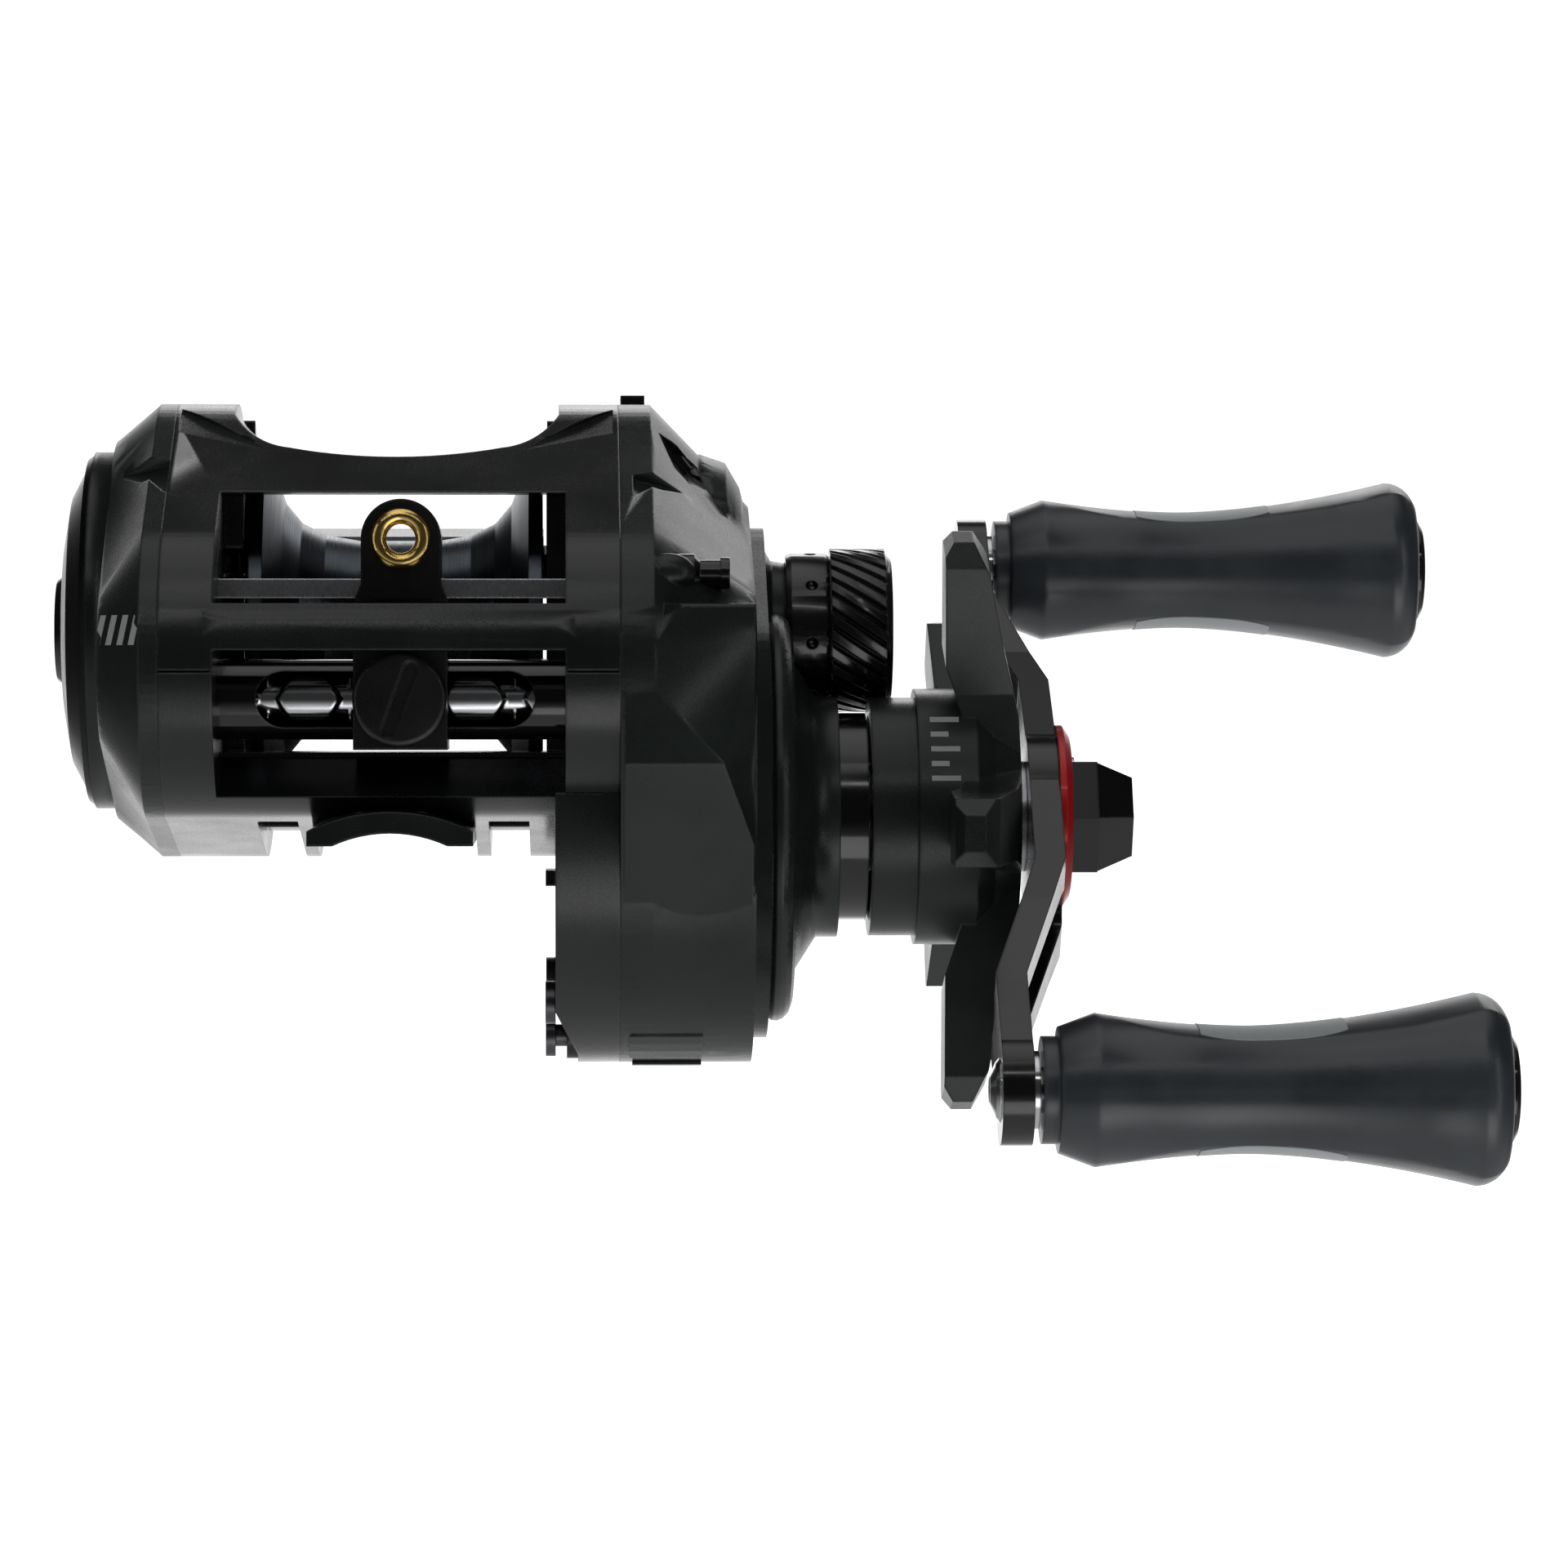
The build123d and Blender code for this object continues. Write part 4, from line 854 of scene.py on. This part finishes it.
# ---- plain marks in place of print ----
BAR_STEPS = 4
BAR_ROOT = 0.12
BAR_PROUD = 0.02
PALM_BARS = 4
PALM_BARS_FROM = (2.6, 17.4)       # inwards from the seam, z
PALM_PITCH = 1.1
PALM_BAR = (0.55, 2.6, 0.22)       # length, height, lean
HUB_BARS = 5
HUB_BARS_FROM = (5.2, 5.4)         # outwards from the hub's inner end, z
HUB_PITCH = 1.3
HUB_LENGTHS = (2.6, 1.6)
HUB_BAR_HEIGHT = 0.45


def add_bar(bm, work, x, z, length, height, lean):
    """A printed bar on a shell, from x, z along x; made in steps up its height."""
    for n in range(BAR_STEPS):
        points = []
        for level in (n, n + 1):
            up = height * level / BAR_STEPS
            for along in (0.0, length):
                place, normal = on_surface(work, x + along + lean * up, z + up)
                points += [place - normal * BAR_ROOT * MM, place + normal * BAR_PROUD * MM]
        one = hull_mesh("bar", points)
        bm.from_mesh(one)
        bpy.data.meshes.remove(one)


def build_marks(name, work, body, bars):
    bm = bmesh.new()
    for bar in bars:
        add_bar(bm, work, *bar)
    mesh = mesh_from(name, bm)
    mesh.materials.append(MATERIALS["pad_print"])
    add_piece(name, mesh, body, "cover_graphite")


def mark_palm(shell):
    """Slanted bars near the palm cover's seam."""
    inset, z = PALM_BARS_FROM
    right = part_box("palm_cover")[1].x / MM - inset
    build_marks("palm_marks", shell, "body",
                [(right - PALM_PITCH * n, z, *PALM_BAR) for n in range(PALM_BARS)])


def mark_hub():
    """A ladder of long and short ticks on the star's hub."""
    outset, z = HUB_BARS_FROM
    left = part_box("drag_star")[0].x / MM + outset
    bars = []
    for n in range(HUB_BARS):
        bars.append((left, z + HUB_PITCH * n, HUB_LENGTHS[n % 2], HUB_BAR_HEIGHT, 0.0))
    build_marks("hub_marks", NODES["drag_star"], "star", bars)


# ---- stage ----
LENS = 144.3
SENSOR = 36.0
DISTANCE = 570 * MM
AZIMUTH = -2.0
ELEVATION = 1.0
TARGET = Vector((35.0 * MM, DRIVE_AXIS.y, 4.93 * MM))
FLOOR_GAP = 4 * MM         # under the knobs' lowest point
FLOOR_HALF = 5.0
FLOOR_FRONT = -4.0
FLOOR_BEND = 1.6           # where the sweep starts to curve up
FLOOR_CURVE = 0.8
FLOOR_TOP = 3.0
FLOOR_STEPS = 12
LAMP_DISTANCE = 0.9

# name, azimuth, elevation, size, power
SOFTBOXES = (
    ("key", -20, 55, (0.5, 0.3), 0.4),
    ("top_strip", -5, 38, (1.1, 0.05), 0.6),
    ("palm_strip", -62, 5, (0.05, 0.8), 0.5),
    ("handle_strip", 52, 5, (0.05, 0.8), 0.5),
    ("table", 25, -35, (0.8, 0.4), 1.4),
    ("rim", 165, 30, (0.8, 0.2), 1.0),
)

# axis, from, to, light at from, light at to: overhead, below and behind
SKY = (
    ("Z", (0.80, 1.00, 0.035, 0.8)),
    ("Z", (-0.05, -0.65, 0.0, 0.5)),
    ("Y", (0.80, 0.99, 0.0, 1.4)),
)


def look_from(azimuth, elevation, distance):
    """A point round the target; azimuth 0 is in front, positive towards the handle side."""
    a, e = math.radians(azimuth), math.radians(elevation)
    return TARGET + distance * Vector((math.sin(a) * math.cos(e), -math.cos(a) * math.cos(e),
                                       math.sin(e)))


def aim_at(piece, target):
    piece.rotation_euler = (target - piece.location).to_track_quat("-Z", "Y").to_euler()


def add_camera():
    camera = link("camera", bpy.data.cameras.new("camera"))
    camera.data.lens = LENS
    camera.data.sensor_width = SENSOR
    camera.data.clip_start = 10 * MM
    camera.location = look_from(AZIMUTH, ELEVATION, DISTANCE)
    aim_at(camera, TARGET)
    bpy.context.scene.camera = camera


def add_softbox(name, azimuth, elevation, size, power):
    light = bpy.data.lights.new(name, "AREA")
    light.shape = "RECTANGLE"
    light.size, light.size_y = size
    light.energy = power
    lamp = link(name, light)
    lamp.location = look_from(azimuth, elevation, LAMP_DISTANCE)
    aim_at(lamp, TARGET)


def floor_mesh(level):
    """A sweep: flat under the reel and curving up behind it."""
    rows = [(FLOOR_FRONT, 0.0), (0.0, 0.0)]
    for step in range(FLOOR_STEPS + 1):
        angle = math.pi / 2 * step / FLOOR_STEPS
        rows.append((FLOOR_BEND + FLOOR_CURVE * math.sin(angle),
                     FLOOR_CURVE * (1 - math.cos(angle))))
    rows.append((FLOOR_BEND + FLOOR_CURVE, FLOOR_TOP))
    verts = [(side * FLOOR_HALF, y, level + z) for y, z in rows for side in (-1, 1)]
    faces = [(2 * n, 2 * n + 1, 2 * n + 3, 2 * n + 2) for n in range(len(rows) - 1)]
    mesh = bpy.data.meshes.new("floor")
    mesh.from_pydata(verts, [], faces)
    mesh.shade_smooth()
    return mesh


def add_floor():
    """A pale floor below the turning knobs, which lights nothing and isn't reflected."""
    low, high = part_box("knob_low")
    reach = (middle("knob_low") - DRIVE_AXIS).yz.length + (high.z - low.z) / 2
    floor = link("floor", floor_mesh(DRIVE_AXIS.z - reach - FLOOR_GAP))
    t = Tree("floor")
    speck = t.noise(t.position(), scale=400.0, detail=3.0)
    t.set(Base_Color=t.blend(speck, (0.88, 0.88, 0.88), (0.92, 0.92, 0.92)), Roughness=0.9,
          Specular_IOR_Level=0.1, Emission_Color=(1.0, 1.0, 1.0), Emission_Strength=1.0)
    floor.data.materials.append(t.material)
    floor.visible_glossy = False
    floor.visible_diffuse = False
    floor.visible_shadow = False


def add_world():
    """A studio round the reel: bright overhead, below and behind, dark at the front and sides."""
    world = bpy.data.worlds.new("world")
    world.use_nodes = True
    nodes, links = world.node_tree.nodes, world.node_tree.links
    parts = nodes.new("ShaderNodeSeparateXYZ")
    links.new(nodes.new("ShaderNodeTexCoord").outputs["Generated"], parts.inputs[0])
    total = None
    for axis, values in SKY:
        ramp = nodes.new("ShaderNodeMapRange")
        ramp.interpolation_type = "SMOOTHSTEP"
        links.new(parts.outputs[axis], ramp.inputs["Value"])
        for key, value in zip(("From Min", "From Max", "To Min", "To Max"), values):
            ramp.inputs[key].default_value = value
        if total is None:
            total = ramp.outputs[0]
            continue
        both = nodes.new("ShaderNodeMath")
        links.new(total, both.inputs[0])
        links.new(ramp.outputs[0], both.inputs[1])
        total = both.outputs[0]
    background = nodes["Background"]
    background.inputs["Color"].default_value = (1.0, 1.0, 1.0, 1.0)
    links.new(total, background.inputs["Strength"])
    bpy.context.scene.world = world


# ---- the reel ----
dress_nodes()
palm_shell = build_palm_cover()
build_gear_cover()
build_hood()
build_cap()
build_knob("knob_high", "grip_high")
build_knob("knob_low", "grip_low")
build_worm()
build_yoke_springs()
mark_palm(palm_shell)
mark_hub()

# ---- the studio ----
add_camera()
add_world()
add_floor()
for softbox in SOFTBOXES:
    add_softbox(*softbox)
bpy.context.scene.view_settings.view_transform = "Standard"
